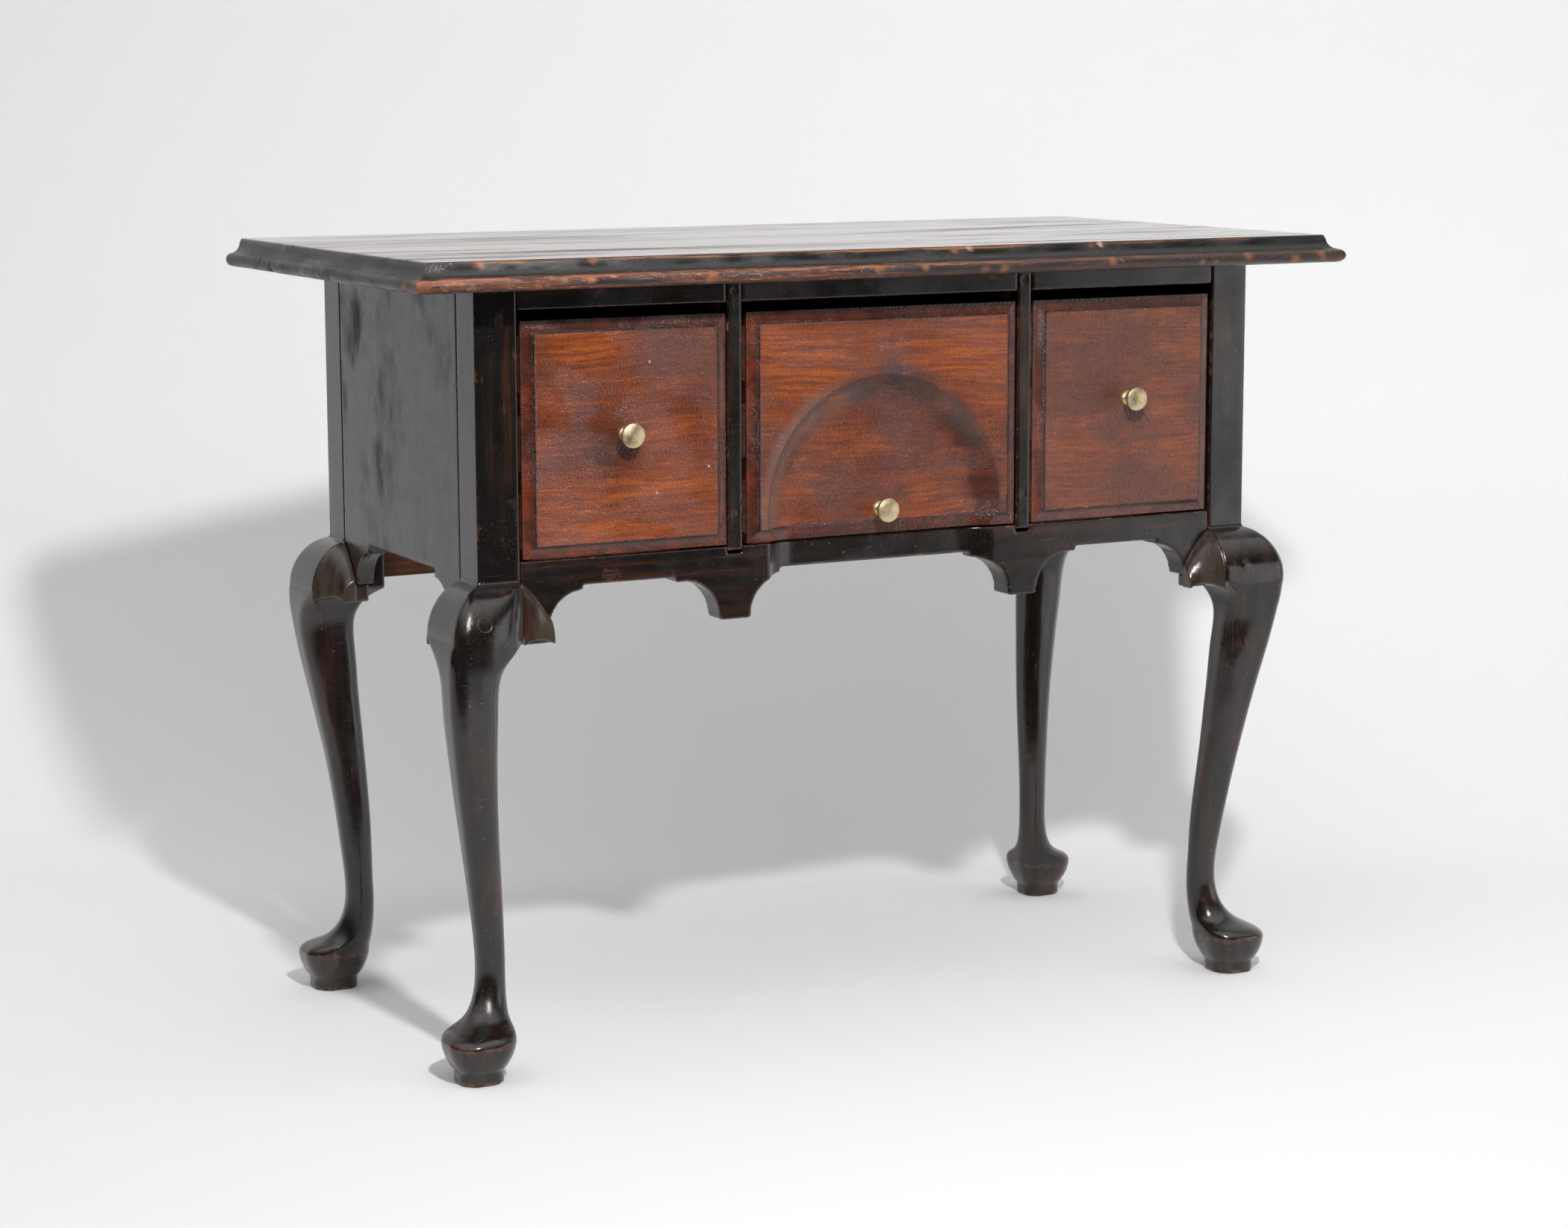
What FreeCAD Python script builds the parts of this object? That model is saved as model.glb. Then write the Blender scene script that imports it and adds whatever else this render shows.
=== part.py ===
import FreeCAD, Part
import math
import os

# A Queen Anne lowboy: a moulded top on a small case, three drawers and four cabriole legs.
# Millimetres, +Z up. The floor is z = 0, x = 0 is the middle of the front, y = 0 is the middle of
# the top's depth, and the front faces -Y.

# ------------------------------------------------------------------ driving dimensions
# Overall
HEIGHT = 720.0
TOP_WIDTH = 948.0
TOP_DEPTH = 481.0
TOP_THICKNESS = 26.0
FRONT_OVERHANG = 57.0
CASE_WIDTH = 798.0
CASE_DEPTH = 361.0
LEG_HEIGHT = 445.0
POST = 40.0

# Top: three boards with one moulding worked along the front and both ends
BACK_BOARD_WIDTH = 119.0
MIDDLE_BOARD_WIDTH = 100.0
MOULD_REACH = 15.0
ARRIS_ROUND = 2.2
COVE_OUT = 1.0
COVE_DROP = 4.0
COVE_SAG = 1.9
NOSE_RADIUS = 6.1
TOP_PEG_DIAMETER = 8.0
TOP_PEG_DEPTH = 32.0
TOP_PEGS_PER_SIDE = 4
TOP_PEG_END_DISTANCE = 62.0

# Legs: reaches are measured outwards from the post's outer faces, hollows inwards from its inner ones
FOOT_PAD_HEIGHT = 13.0
FOOT_PAD_REACH = 21.4
FOOT_PAD_LEDGE = 1.6
FOOT_EDGE_HEIGHT = 36.5
FOOT_REACH = 31.0
ANKLE_HEIGHT = 95.0
ANKLE_REACH = -7.3
ANKLE_HOLLOW = 5.6
KNEE_HOLLOW = 19.0
SHAFT_CORNER_RADIUS = 13.4
KNEE_TOP_DROP = 6.0
KNEE_SHOULDER_DROP = 53.0
KNEE_BULGE = 33.0
KNEE_CORNER_RADIUS = 12.0
KNEE_BLOCK_LENGTH = 28.0
KNEE_BLOCK_DROP = 8.0
KNEE_BLOCK_BACK = 14.0
KNEE_BLOCK_LIP = 24.0
KNEE_BLOCK_ARCH = 4.5
KNEE_BLOCK_TIP = 0.42
KNEE_BLOCK_FALL = 34.0

# Front: apron, rail and dividers
APRON_THICKNESS = 26.0
APRON_RISE = 12.0
APRON_FLAT_DROP = 12.5
APRON_STEP = 4.5
PENDANT_WIDTH = 31.0
PENDANT_DROP = 54.0
PENDANT_ARC_RADIUS = 35.0
PENDANT_LEDGE = 8.0
BRACKET_REACH = 59.0
BRACKET_RADIUS = 32.0
RECESS_HALF_WIDTH = 116.0
RECESS_DEPTH = 13.0
RECESS_RETURN = 30.0
RAIL_HEIGHT = 20.0
RAIL_DEPTH = 22.0
MIDDLE_OPENING = 286.0
DIVIDER_WIDTH = 15.0
DIVIDER_DEPTH = 14.0
DIVIDER_LAP = 3.8
DIVIDER_GAP = 3.2
TENON_THICKNESS = 10.0
TENON_SETBACK = 8.0
TENON_COVER = 8.0
TENON_SHOULDER = 2.0

# Sides and back
SIDE_THICKNESS = 18.0
SIDE_FLAT_DROP = 3.5
SIDE_STEP = 8.5
SIDE_BRACKET_REACH = 62.0
TONGUE_THICKNESS = 9.0
TONGUE_LENGTH = 10.0
BACK_THICKNESS = 12.0
BACK_RABBET = 12.0
BACK_PANEL_DROP = 47.0

# Inside the case
RUNNER_THICKNESS = 20.0
OUTER_RUNNER_WIDTH = 26.0
INNER_RUNNER_WIDTH = 62.0
RUNNER_TENON_LENGTH = 7.0
RUNNER_TENON_THICKNESS = 9.0
GUIDE_HEIGHT = 34.0
KICKER_WIDTH = 25.0
KICKER_CLEARANCE = 1.2
STOP_WIDTH = 22.0
STOP_HEIGHT = 24.0
GLUE_BLOCK = 20.0
GLUE_BLOCK_LENGTH = 50.0

# Drawers
FRONT_PROUD = 6.0
SIDE_FRONT_THICKNESS = 24.0
MIDDLE_FRONT_THICKNESS = 30.0
FRONT_BOTTOM_GAP = 1.8
FRONT_TOP_GAP = 9.2
THUMBNAIL_WIDTH = 10.5
THUMBNAIL_FALL = 4.6
THUMBNAIL_STEP = 1.0
THUMBNAIL_SAG = 1.4
ARCH_HALF_WIDTH = 121.0
ARCH_HEIGHT = 145.0
DRAWER_SIDE_THICKNESS = 12.0
DRAWER_SIDE_DROP = 3.0
DRAWER_BOTTOM_THICKNESS = 8.0
DRAWER_BOTTOM_RISE = 7.0
GROOVE_DEPTH = 5.0
DRAWER_END_GAP = 14.0
TAIL_COUNT = 3
TAIL_SHARE = 0.72
TAIL_SLOPE = 1.0 / 6.0
LAP_LEFT = 8.0
RUNNING_CLEARANCE = 0.3

# Knobs
KNOB_DIAMETER = 22.0
KNOB_PROJECTION = 21.0
KNOB_DOME = 1.8
KNOB_EDGE = 1.3
KNOB_RIM_THICKNESS = 3.2
KNOB_SWEEP = 1.4
KNOB_NECK_DIAMETER = 7.0
KNOB_NECK_START = 5.0
KNOB_NECK_END = 10.5
KNOB_ROSE_DIAMETER = 13.0
KNOB_ROSE_THICKNESS = 1.4
KNOB_SHANK_DIAMETER = 5.0
KNOB_NUT_DIAMETER = 13.0
KNOB_NUT_THICKNESS = 4.0
KNOB_SHANK_END = 2.0
MIDDLE_KNOB_RISE = 22.0

# Fasteners
NAIL_DIAMETER = 2.4
NAIL_HEAD_DIAMETER = 5.0
NAIL_HEAD_THICKNESS = 1.2
BOTTOM_NAIL_LENGTH = 24.0
BACK_NAIL_LENGTH = 24.0
RUNNER_NAIL_LENGTH = 36.0
KNEE_PEG_DIAMETER = 10.0
KNEE_PEG_RISE = 6.0
RAIL_PEG_DIAMETER = 6.0

# How far each leg leans to the left of its post, halfway up and at the foot
LEG_LEAN = {
    "front_left": (10.0, 7.0),
    "front_right": (4.0, 6.5),
    "back_left": (3.5, 6.5),
    "back_right": (5.5, 1.5),
}

# Each drawer: how much of its opening is free on its left and right, and its knob's offset in x and z
DRAWER_GAPS = {"left": (2.0, 1.8), "middle": (3.9, 3.1), "right": (1.7, 4.8)}
KNOB_OFFSETS = {"left": (-3.0, 2.0), "middle": (0.0, 0.0), "right": (3.0, 9.0)}

# ------------------------------------------------------------------ derived places
TOP_UNDERSIDE = HEIGHT - TOP_THICKNESS
FRONT_Y = -TOP_DEPTH / 2 + FRONT_OVERHANG
BACK_Y = FRONT_Y + CASE_DEPTH
MIDDLE_Y = (FRONT_Y + BACK_Y) / 2
SIDE_X = CASE_WIDTH / 2
POST_X = SIDE_X - POST
KNEE_TOP_Z = LEG_HEIGHT - KNEE_TOP_DROP
SHOULDER_Z = LEG_HEIGHT - KNEE_SHOULDER_DROP
APRON_TOP = LEG_HEIGHT + APRON_RISE
RAIL_BOTTOM = TOP_UNDERSIDE - RAIL_HEIGHT
APRON_FLAT = LEG_HEIGHT - APRON_FLAT_DROP
APRON_BACK_Y = FRONT_Y + APRON_THICKNESS
BACK_INNER_Y = BACK_Y - BACK_THICKNESS
DIVIDER_INNER = MIDDLE_OPENING / 2
DIVIDER_OUTER = DIVIDER_INNER + DIVIDER_WIDTH
DIVIDER_X = DIVIDER_INNER + DIVIDER_WIDTH / 2
BRACKET_END_Z = APRON_FLAT - APRON_STEP - BRACKET_RADIUS
SIDE_FLAT = LEG_HEIGHT - SIDE_FLAT_DROP
SIDE_END_Z = SIDE_FLAT - SIDE_STEP - BRACKET_RADIUS
TENON_LENGTH = POST - TENON_COVER
TENON_PEG_X = POST_X + 3 * TENON_LENGTH / 4
ANKLE_INN = POST - ANKLE_HOLLOW
KNEE_INN = POST - KNEE_HOLLOW
FRONT_TOP_Z = RAIL_BOTTOM - FRONT_TOP_GAP
OVERRUN = 5.0
OVERLAP = 1.0
SHARP = 1.0

X_AXIS = FreeCAD.Vector(1, 0, 0)
Y_AXIS = FreeCAD.Vector(0, 1, 0)
Z_AXIS = FreeCAD.Vector(0, 0, 1)
ORIGIN = FreeCAD.Vector(0, 0, 0)


# ------------------------------------------------------------------ small helpers
def vec(x, y, z):
    return FreeCAD.Vector(x, y, z)


def box(x0, x1, y0, y1, z0, z1):
    return Part.makeBox(x1 - x0, y1 - y0, z1 - z0, vec(x0, y0, z0))


def cylinder(start, direction, diameter, length):
    return Part.makeCylinder(diameter / 2, length, start, direction)


def fuse(shapes):
    return shapes[0].multiFuse(shapes[1:]).removeSplitter()


def arc_through(start, end, sag):
    """The arc from start to end that stands sag to the right of its chord, in 2-D."""
    dx, dy = end[0] - start[0], end[1] - start[1]
    length = math.hypot(dx, dy)
    middle = ((start[0] + end[0]) / 2 + dy / length * sag, (start[1] + end[1]) / 2 - dx / length * sag)
    return ("arc", start, middle, end)


def outline(steps, place):
    """A face from 2-D steps: each is a point, or an arc from arc_through. place maps (a, b) to 3-D."""
    edges = []
    points = []
    for step in steps:
        if step[0] == "arc":
            points.append((step[1], None))
            points.append((step[3], step[2]))
        else:
            points.append((step, None))
    for index, (end, middle) in enumerate(points):
        start = points[index - 1][0]
        if math.hypot(end[0] - start[0], end[1] - start[1]) < 1e-6:
            continue
        if middle is None:
            edges.append(Part.makeLine(place(*start), place(*end)))
        else:
            edges.append(Part.Arc(place(*start), place(*middle), place(*end)).toShape())
    return Part.Face(Part.Wire(edges))


def along_x(steps, x0, x1):
    return outline(steps, lambda y, z: vec(x0, y, z)).extrude(vec(x1 - x0, 0, 0))


def along_y(steps, y0, y1):
    return outline(steps, lambda x, z: vec(x, y0, z)).extrude(vec(0, y1 - y0, 0))


def along_z(steps, z0, z1):
    return outline(steps, lambda x, y: vec(x, y, z0)).extrude(vec(0, 0, z1 - z0))


def flip_x(shape):
    return shape.mirror(ORIGIN, X_AXIS)


def flip_y(shape):
    return shape.mirror(vec(0, MIDDLE_Y, 0), Y_AXIS)


def save(name, shape):
    """One clean solid, or one compound of separate solids, per node."""
    solids = shape.Solids
    whole = solids[0] if len(solids) == 1 else Part.makeCompound(solids)
    whole.exportStep("parts/" + name + ".step")
    print(name, len(solids), round(whole.Volume / 1000.0, 1), whole.isValid())


# ------------------------------------------------------------------ legs
# Every leg is drawn with its post's outer corner at the origin and its wood towards +x and +y; "out"
# is how far a section reaches outside the post's faces, and "inn" how far it reaches inside them.
def section(z, out, inn, r_out, r_side, r_in, tilt=0.0):
    """A rounded square, tilted about the diagonal so that its heel is higher than its toe."""
    lo, hi = -out, inn
    corners = [
        (hi - r_side, lo + r_side, r_side, -90),
        (hi - r_in, hi - r_in, r_in, 0),
        (lo + r_side, hi - r_side, r_side, 90),
        (lo + r_out, lo + r_out, r_out, 180),
    ]
    edges = []
    last = vec(lo + r_out, lo, 0)
    for cx, cy, radius, angle in corners:
        turn = [math.radians(angle + step) for step in (0, 45, 90)]
        points = [vec(cx + radius * math.cos(a), cy + radius * math.sin(a), 0) for a in turn]
        edges.append(Part.makeLine(last, points[0]))
        edges.append(Part.Arc(*points).toShape())
        last = points[2]
    wire = Part.Wire(edges)
    toe = lo + r_out * (1 - math.sqrt(0.5))
    wire.rotate(vec(toe, toe, 0), vec(1, -1, 0), tilt)
    wire.translate(vec(0, 0, z))
    return wire


def knee_reach(z):
    """How far the knee stands outside the post's faces at height z, above its shoulder."""
    share = min(max((z - SHOULDER_Z) / (KNEE_TOP_Z - SHOULDER_Z), 0.0), 1.0)
    return KNEE_BULGE * (1 - share * share) ** 0.6


def lean_at(z, lean):
    """The sideways lean at height z: none at the knee's shoulder, then the middle's, then the foot's."""
    middle, foot = lean
    half = (SHOULDER_Z + ANKLE_HEIGHT) / 2
    if z >= half:
        share = max((SHOULDER_Z - z) / (SHOULDER_Z - half), 0.0) ** 0.6
        return middle * math.sin(share * math.pi / 2)
    share = min((half - z) / (half - ANKLE_HEIGHT), 1.0)
    return middle + (foot - middle) * share * share * (3 - 2 * share)


def blend(first, last, share):
    return [a + (b - a) * share for a, b in zip(first, last)]


def under_foot():
    """The foot's round body, from the ledge above its pad out to its edge."""
    ledge = FOOT_PAD_REACH + FOOT_PAD_LEDGE
    first = (ledge, ledge, 17.0, 20.0, 16.0, 0.0)
    last = (FOOT_REACH, ANKLE_INN - 2.4, 24.0, 25.0, 20.0, 3.0)
    sections = []
    for share in (0.0, 0.35, 0.7, 1.0):
        z = FOOT_PAD_HEIGHT + share * (FOOT_EDGE_HEIGHT - FOOT_PAD_HEIGHT)
        sections.append(section(z, *blend(first, last, 1 - (1 - share) ** 2)))
    return sections


def foot_sections():
    """The foot's top, from its edge up to just below the ankle."""
    # rise towards the ankle, way back from the toe, heel's inset, toe, side and heel radii, tilt
    rows = [
        (0.000, 0.000, 2.4, 24.0, 25.0, 20.0, 3.0),
        (0.094, 0.117, 1.8, 22.0, 25.0, 20.0, 3.0),
        (0.171, 0.326, 1.2, 20.0, 25.0, 19.0, 3.0),
        (0.282, 0.600, 0.6, 17.0, 23.0, 18.0, 3.0),
        (0.453, 0.809, 0.2, 14.0, 19.0, 16.0, 2.0),
        (0.675, 0.940, 0.0, 12.5, 15.5, 13.8, 1.0),
    ]
    sections = []
    for rise, back, inset, toe, side, heel, tilt in rows:
        z = FOOT_EDGE_HEIGHT + rise * (ANKLE_HEIGHT - FOOT_EDGE_HEIGHT)
        out = FOOT_REACH + back * (ANKLE_REACH - FOOT_REACH)
        sections.append(section(z, out, ANKLE_INN - inset, toe, side, heel, tilt))
    return sections


def shaft_sections():
    """From the ankle up to the knee's shoulder, where the shaft widens to the post's inner faces."""
    # height, outer swell and inner hollow as shares of their whole change, side radius
    shaft = [
        (0.00, 0.000, 0.000, 13.2),
        (0.15, 0.082, 0.082, 15.0),
        (0.25, 0.169, 0.179, 16.0),
        (0.42, 0.340, 0.433, 16.5),
        (0.57, 0.524, 0.642, 18.5),
        (0.70, 0.697, 0.806, 21.0),
        (0.80, 0.831, 0.933, 23.5),
        (0.88, 0.921, 1.000, 24.0),
    ]
    # height, outer swell, way back to the post's inner faces, side and inner radii
    shoulder = [
        (0.925, 0.970, 0.10, 20.0, 10.0),
        (0.955, 0.990, 0.30, 14.0, 7.0),
        (0.980, 1.000, 0.62, 7.0, 4.0),
    ]
    bottom, top = (ANKLE_HEIGHT, ANKLE_REACH), (SHOULDER_Z, KNEE_BULGE)
    sections = []
    for rise, swell, hollow, side in shaft:
        z, out = blend(bottom, top, rise)[0], blend(bottom, top, swell)[1]
        inn = ANKLE_INN + hollow * (KNEE_INN - ANKLE_INN)
        sections.append(section(z, out, inn, KNEE_CORNER_RADIUS, side, SHAFT_CORNER_RADIUS))
    for rise, swell, spread, side, inner in shoulder:
        z, out = blend(bottom, top, rise)[0], blend(bottom, top, swell)[1]
        inn = KNEE_INN + spread * (POST - KNEE_INN)
        sections.append(section(z, out, inn, KNEE_CORNER_RADIUS, side, inner))
    sections.append(section(SHOULDER_Z, KNEE_BULGE, POST, KNEE_CORNER_RADIUS, SHARP, SHARP))
    return sections


def leg_blank(lean):
    """Foot, shaft, knee and post as one piece of wood, before its joints are cut."""
    under = under_foot()
    upper = foot_sections() + shaft_sections()
    pad = section(0.0, FOOT_PAD_REACH, FOOT_PAD_REACH, 17.0, 19.0, 16.0)
    for wire in under + upper + [pad]:
        wire.translate(vec(lean_at(wire.CenterOfMass.z, lean), 0, 0))
    knee = []
    for share in (0.0, 0.2, 0.4, 0.6, 0.75, 0.87, 0.95, 1.0):
        z = SHOULDER_Z + share * (KNEE_TOP_Z - SHOULDER_Z)
        reach = knee_reach(z)
        corner = max(KNEE_CORNER_RADIUS * reach / KNEE_BULGE, SHARP)
        knee.append(section(z, reach, POST, corner, SHARP, SHARP))
    lofts = [Part.makeLoft(wires, True, False) for wires in (under, upper, knee)]
    pad = Part.Face(pad).extrude(vec(0, 0, FOOT_PAD_HEIGHT))
    post = box(0, POST, 0, POST, KNEE_TOP_Z, TOP_UNDERSIDE)
    return fuse([pad] + lofts + [post])


def knee_block(bracket_z):
    """The block beside the knee, drawn on the +x side of the post, with a lip under the bracket's end."""
    drop = SHOULDER_Z - KNEE_BLOCK_DROP
    wires = []
    for share, scale, fall in ((0.0, 1.0, 0.0), (0.5, 0.55, 0.41), (1.0, KNEE_BLOCK_TIP, 1.0)):
        top = KNEE_TOP_Z - fall * KNEE_BLOCK_FALL
        x = POST + share * KNEE_BLOCK_LENGTH
        front = []
        for step in (0.0, 0.15, 0.35, 0.55, 0.75, 0.9, 1.0):
            like = drop + step * (KNEE_TOP_Z - drop)
            front.append(vec(x, -scale * knee_reach(like), drop + step * (top - drop)))
        curve = Part.BSplineCurve()
        curve.interpolate(front)
        back = Part.makeLine(front[-1], vec(x, 0, drop))
        foot = Part.makeLine(vec(x, 0, drop), front[0])
        wires.append(Part.Wire([curve.toShape(), back, foot]))
    face = Part.makeLoft(wires, True, False)
    arch_radius = (KNEE_BLOCK_LENGTH ** 2 / 4 + KNEE_BLOCK_ARCH ** 2) / (2 * KNEE_BLOCK_ARCH)
    start = -KNEE_BULGE - OVERRUN
    centre = vec(POST + KNEE_BLOCK_LENGTH / 2, start, drop + KNEE_BLOCK_ARCH - arch_radius)
    face = face.cut(cylinder(centre, Y_AXIS, 2 * arch_radius, -OVERLAP - start))
    lip = box(POST, POST + KNEE_BLOCK_LIP, -OVERLAP, KNEE_BLOCK_BACK, drop, bracket_z)
    return fuse([face, lip])


def swap_xy(shape):
    """The same block for the other face of the post."""
    return shape.mirror(ORIGIN, vec(1, -1, 0))


def to_corner(shape, right, back):
    """Carry a shape from the front left corner to its own corner."""
    moved = shape.translated(vec(-SIDE_X, FRONT_Y, 0))
    if right:
        moved = flip_x(moved)
    if back:
        moved = flip_y(moved)
    return moved


# ------------------------------------------------------------------ joints between the case's pieces
def apron_tenon():
    y = FRONT_Y + TENON_SETBACK
    z0, z1 = BRACKET_END_Z + TENON_SHOULDER, APRON_TOP - TENON_SHOULDER
    return box(POST_X - OVERLAP, POST_X + TENON_LENGTH, y, y + TENON_THICKNESS, z0, z1)


def rail_tenon():
    y = FRONT_Y + TENON_SETBACK
    z0, z1 = RAIL_BOTTOM + RAIL_HEIGHT / 6, TOP_UNDERSIDE - RAIL_HEIGHT / 6
    return box(POST_X - OVERLAP, POST_X + TENON_LENGTH, y, y + TENON_THICKNESS, z0, z1)


def side_tongues():
    """The tongues on a side panel's two ends, let into the posts."""
    x0 = SIDE_X - (SIDE_THICKNESS + TONGUE_THICKNESS) / 2
    z0 = SIDE_END_Z + TENON_SHOULDER
    y0, y1 = FRONT_Y + POST, BACK_Y - POST
    front = box(x0, x0 + TONGUE_THICKNESS, y0 - TONGUE_LENGTH, y0 + OVERLAP, z0, TOP_UNDERSIDE)
    back = box(x0, x0 + TONGUE_THICKNESS, y1 - OVERLAP, y1 + TONGUE_LENGTH, z0, TOP_UNDERSIDE)
    return [front, back]


def back_board():
    half = POST_X + BACK_RABBET
    return box(-half, half, BACK_INNER_Y, BACK_Y, LEG_HEIGHT - BACK_PANEL_DROP, TOP_UNDERSIDE)


def runner_tenons(x_middle, width):
    """The stub tenon at a runner's front end, let into the back of the apron."""
    z = APRON_TOP - RUNNER_THICKNESS / 2
    half = width / 3
    y0 = APRON_BACK_Y - RUNNER_TENON_LENGTH
    z0, z1 = z - RUNNER_TENON_THICKNESS / 2, z + RUNNER_TENON_THICKNESS / 2
    return box(x_middle - half, x_middle + half, y0, APRON_BACK_Y + OVERLAP, z0, z1)


def both_sides(shape):
    return [shape, flip_x(shape)]


# ------------------------------------------------------------------ the top
def moulded_edge(reach, height):
    """The moulding's steps, from the top surface to the underside, as (outward, height)."""
    arris = reach - MOULD_REACH
    nose_x = reach - NOSE_RADIUS
    bottom = height - TOP_THICKNESS
    nose_top = (nose_x, bottom + 2 * NOSE_RADIUS)
    rounding = ARRIS_ROUND * (1 - math.sqrt(0.5))
    arris_arc = ("arc", (arris - ARRIS_ROUND, height), (arris - rounding, height - rounding),
                 (arris, height - ARRIS_ROUND))
    cove = arc_through((arris + COVE_OUT, height - COVE_DROP), nose_top, COVE_SAG)
    nose = ("arc", nose_top, (reach, bottom + NOSE_RADIUS), (nose_x, bottom))
    return [arris_arc, cove, nose]


def mirrored(steps):
    """The same steps on the other side, walked backwards."""
    flipped = []
    for step in reversed(steps):
        if step[0] == "arc":
            turned = [(-a, b) for a, b in (step[3], step[2], step[1])]
            flipped.append(("arc", turned[0], turned[1], turned[2]))
        else:
            flipped.append((-step[0], step[1]))
    return flipped


def top_blank():
    half_width, half_depth = TOP_WIDTH / 2, TOP_DEPTH / 2
    edge = moulded_edge(half_depth, HEIGHT)
    front = mirrored(edge) + [(half_depth, HEIGHT), (half_depth, TOP_UNDERSIDE)]
    front = along_x(front, -half_width, half_width)
    right = moulded_edge(half_width, HEIGHT)
    ends = along_y(right + mirrored(right), -half_depth, half_depth)
    return front.common(ends)


def top_peg_places():
    y0, y1 = FRONT_Y + TOP_PEG_END_DISTANCE, BACK_Y - TOP_PEG_END_DISTANCE
    spacing = (y1 - y0) / (TOP_PEGS_PER_SIDE - 1)
    x = SIDE_X - SIDE_THICKNESS / 2
    return [(side * x, y0 + i * spacing) for side in (-1, 1) for i in range(TOP_PEGS_PER_SIDE)]


def top_pegs():
    length = TOP_PEG_DEPTH + TOP_THICKNESS
    starts = [vec(x, y, HEIGHT - length) for x, y in top_peg_places()]
    return [cylinder(start, Z_AXIS, TOP_PEG_DIAMETER, length) for start in starts]


def top_boards(pegs):
    whole = top_blank().cut(Part.makeCompound(pegs))
    back_seam = TOP_DEPTH / 2 - BACK_BOARD_WIDTH
    middle_seam = back_seam - MIDDLE_BOARD_WIDTH
    limits = [-TOP_DEPTH / 2 - OVERRUN, middle_seam, back_seam, TOP_DEPTH / 2 + OVERRUN]
    boards = []
    for y0, y1 in zip(limits, limits[1:]):
        boards.append(whole.common(box(-TOP_WIDTH, TOP_WIDTH, y0, y1, 0, 2 * HEIGHT)))
    return dict(zip(("front", "middle", "back"), boards))


# ------------------------------------------------------------------ the front of the case
def recess_plan(half_width, face_y):
    """The sunk panel seen from above: coved returns and a flat floor, open to the front."""
    radius = (RECESS_RETURN ** 2 + RECESS_DEPTH ** 2) / (2 * RECESS_DEPTH)
    chord = math.hypot(RECESS_RETURN, RECESS_DEPTH)
    sag = radius - math.sqrt(radius ** 2 - chord ** 2 / 4)
    inner, floor = half_width - RECESS_RETURN, face_y + RECESS_DEPTH
    right = arc_through((half_width, face_y), (inner, floor), sag)
    left = arc_through((-inner, floor), (-half_width, face_y), sag)
    return [(-half_width, face_y - OVERRUN), (half_width, face_y - OVERRUN), right, left]


def quarter(centre, start, end):
    """A quarter circle round centre, from start to end."""
    radius = math.hypot(start[0] - centre[0], start[1] - centre[1])
    middle = ((start[0] + end[0]) / 2 - centre[0], (start[1] + end[1]) / 2 - centre[1])
    length = math.hypot(*middle)
    bulge = (centre[0] + middle[0] / length * radius, centre[1] + middle[1] / length * radius)
    return ("arc", start, bulge, end)


def divider_notch(z0, z1):
    """The notch in the front of the apron or rail that a divider is let into."""
    return box(DIVIDER_INNER, DIVIDER_OUTER, FRONT_Y - OVERRUN, FRONT_Y + DIVIDER_DEPTH, z0, z1 + OVERRUN)


def front_apron():
    radius, step_z = PENDANT_ARC_RADIUS, APRON_FLAT - APRON_STEP
    inner, outer = DIVIDER_X - PENDANT_WIDTH / 2, DIVIDER_X + PENDANT_WIDTH / 2
    bottom = LEG_HEIGHT - PENDANT_DROP
    side_z = step_z - radius
    nip = side_z - bottom
    step_x = POST_X - BRACKET_REACH
    steps = [
        (0, APRON_FLAT),
        (inner - radius, APRON_FLAT),
        quarter((inner - radius, side_z), (inner - radius, step_z), (inner, side_z)),
        (inner + nip, bottom),
        (outer - nip, bottom),
        quarter((outer + radius, side_z), (outer, side_z), (outer + radius, step_z)),
        (outer + radius + PENDANT_LEDGE, step_z),
        (outer + radius + PENDANT_LEDGE, APRON_FLAT),
        (step_x, APRON_FLAT),
        quarter((step_x, BRACKET_END_Z), (step_x, step_z), (step_x + BRACKET_RADIUS, BRACKET_END_Z)),
        (POST_X, BRACKET_END_Z),
        (POST_X, APRON_TOP),
        (0, APRON_TOP),
    ]
    half = along_y(steps, FRONT_Y, APRON_BACK_Y)
    notch_z = APRON_TOP - DIVIDER_LAP - DIVIDER_GAP
    notch = divider_notch(notch_z, APRON_TOP)
    outer_x = POST_X - OUTER_RUNNER_WIDTH / 2
    half = fuse([half, apron_tenon()]).cut(notch)
    half = half.cut(runner_tenons(DIVIDER_X, INNER_RUNNER_WIDTH))
    half = half.cut(runner_tenons(outer_x, OUTER_RUNNER_WIDTH))
    whole = fuse(both_sides(half))
    recess = recess_plan(RECESS_HALF_WIDTH, FRONT_Y)
    return whole.cut(along_z(recess, bottom - OVERRUN, APRON_TOP + OVERRUN))


def top_rail():
    rail = box(-POST_X, POST_X, FRONT_Y, FRONT_Y + RAIL_DEPTH, RAIL_BOTTOM, TOP_UNDERSIDE)
    rail = fuse([rail] + both_sides(rail_tenon()))
    notch = divider_notch(RAIL_BOTTOM - OVERRUN, TOP_UNDERSIDE)
    return rail.cut(Part.makeCompound(both_sides(notch)))


def divider():
    back_y = FRONT_Y + DIVIDER_DEPTH
    return box(DIVIDER_INNER, DIVIDER_OUTER, FRONT_Y, back_y, APRON_TOP - DIVIDER_LAP, TOP_UNDERSIDE)


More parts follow.
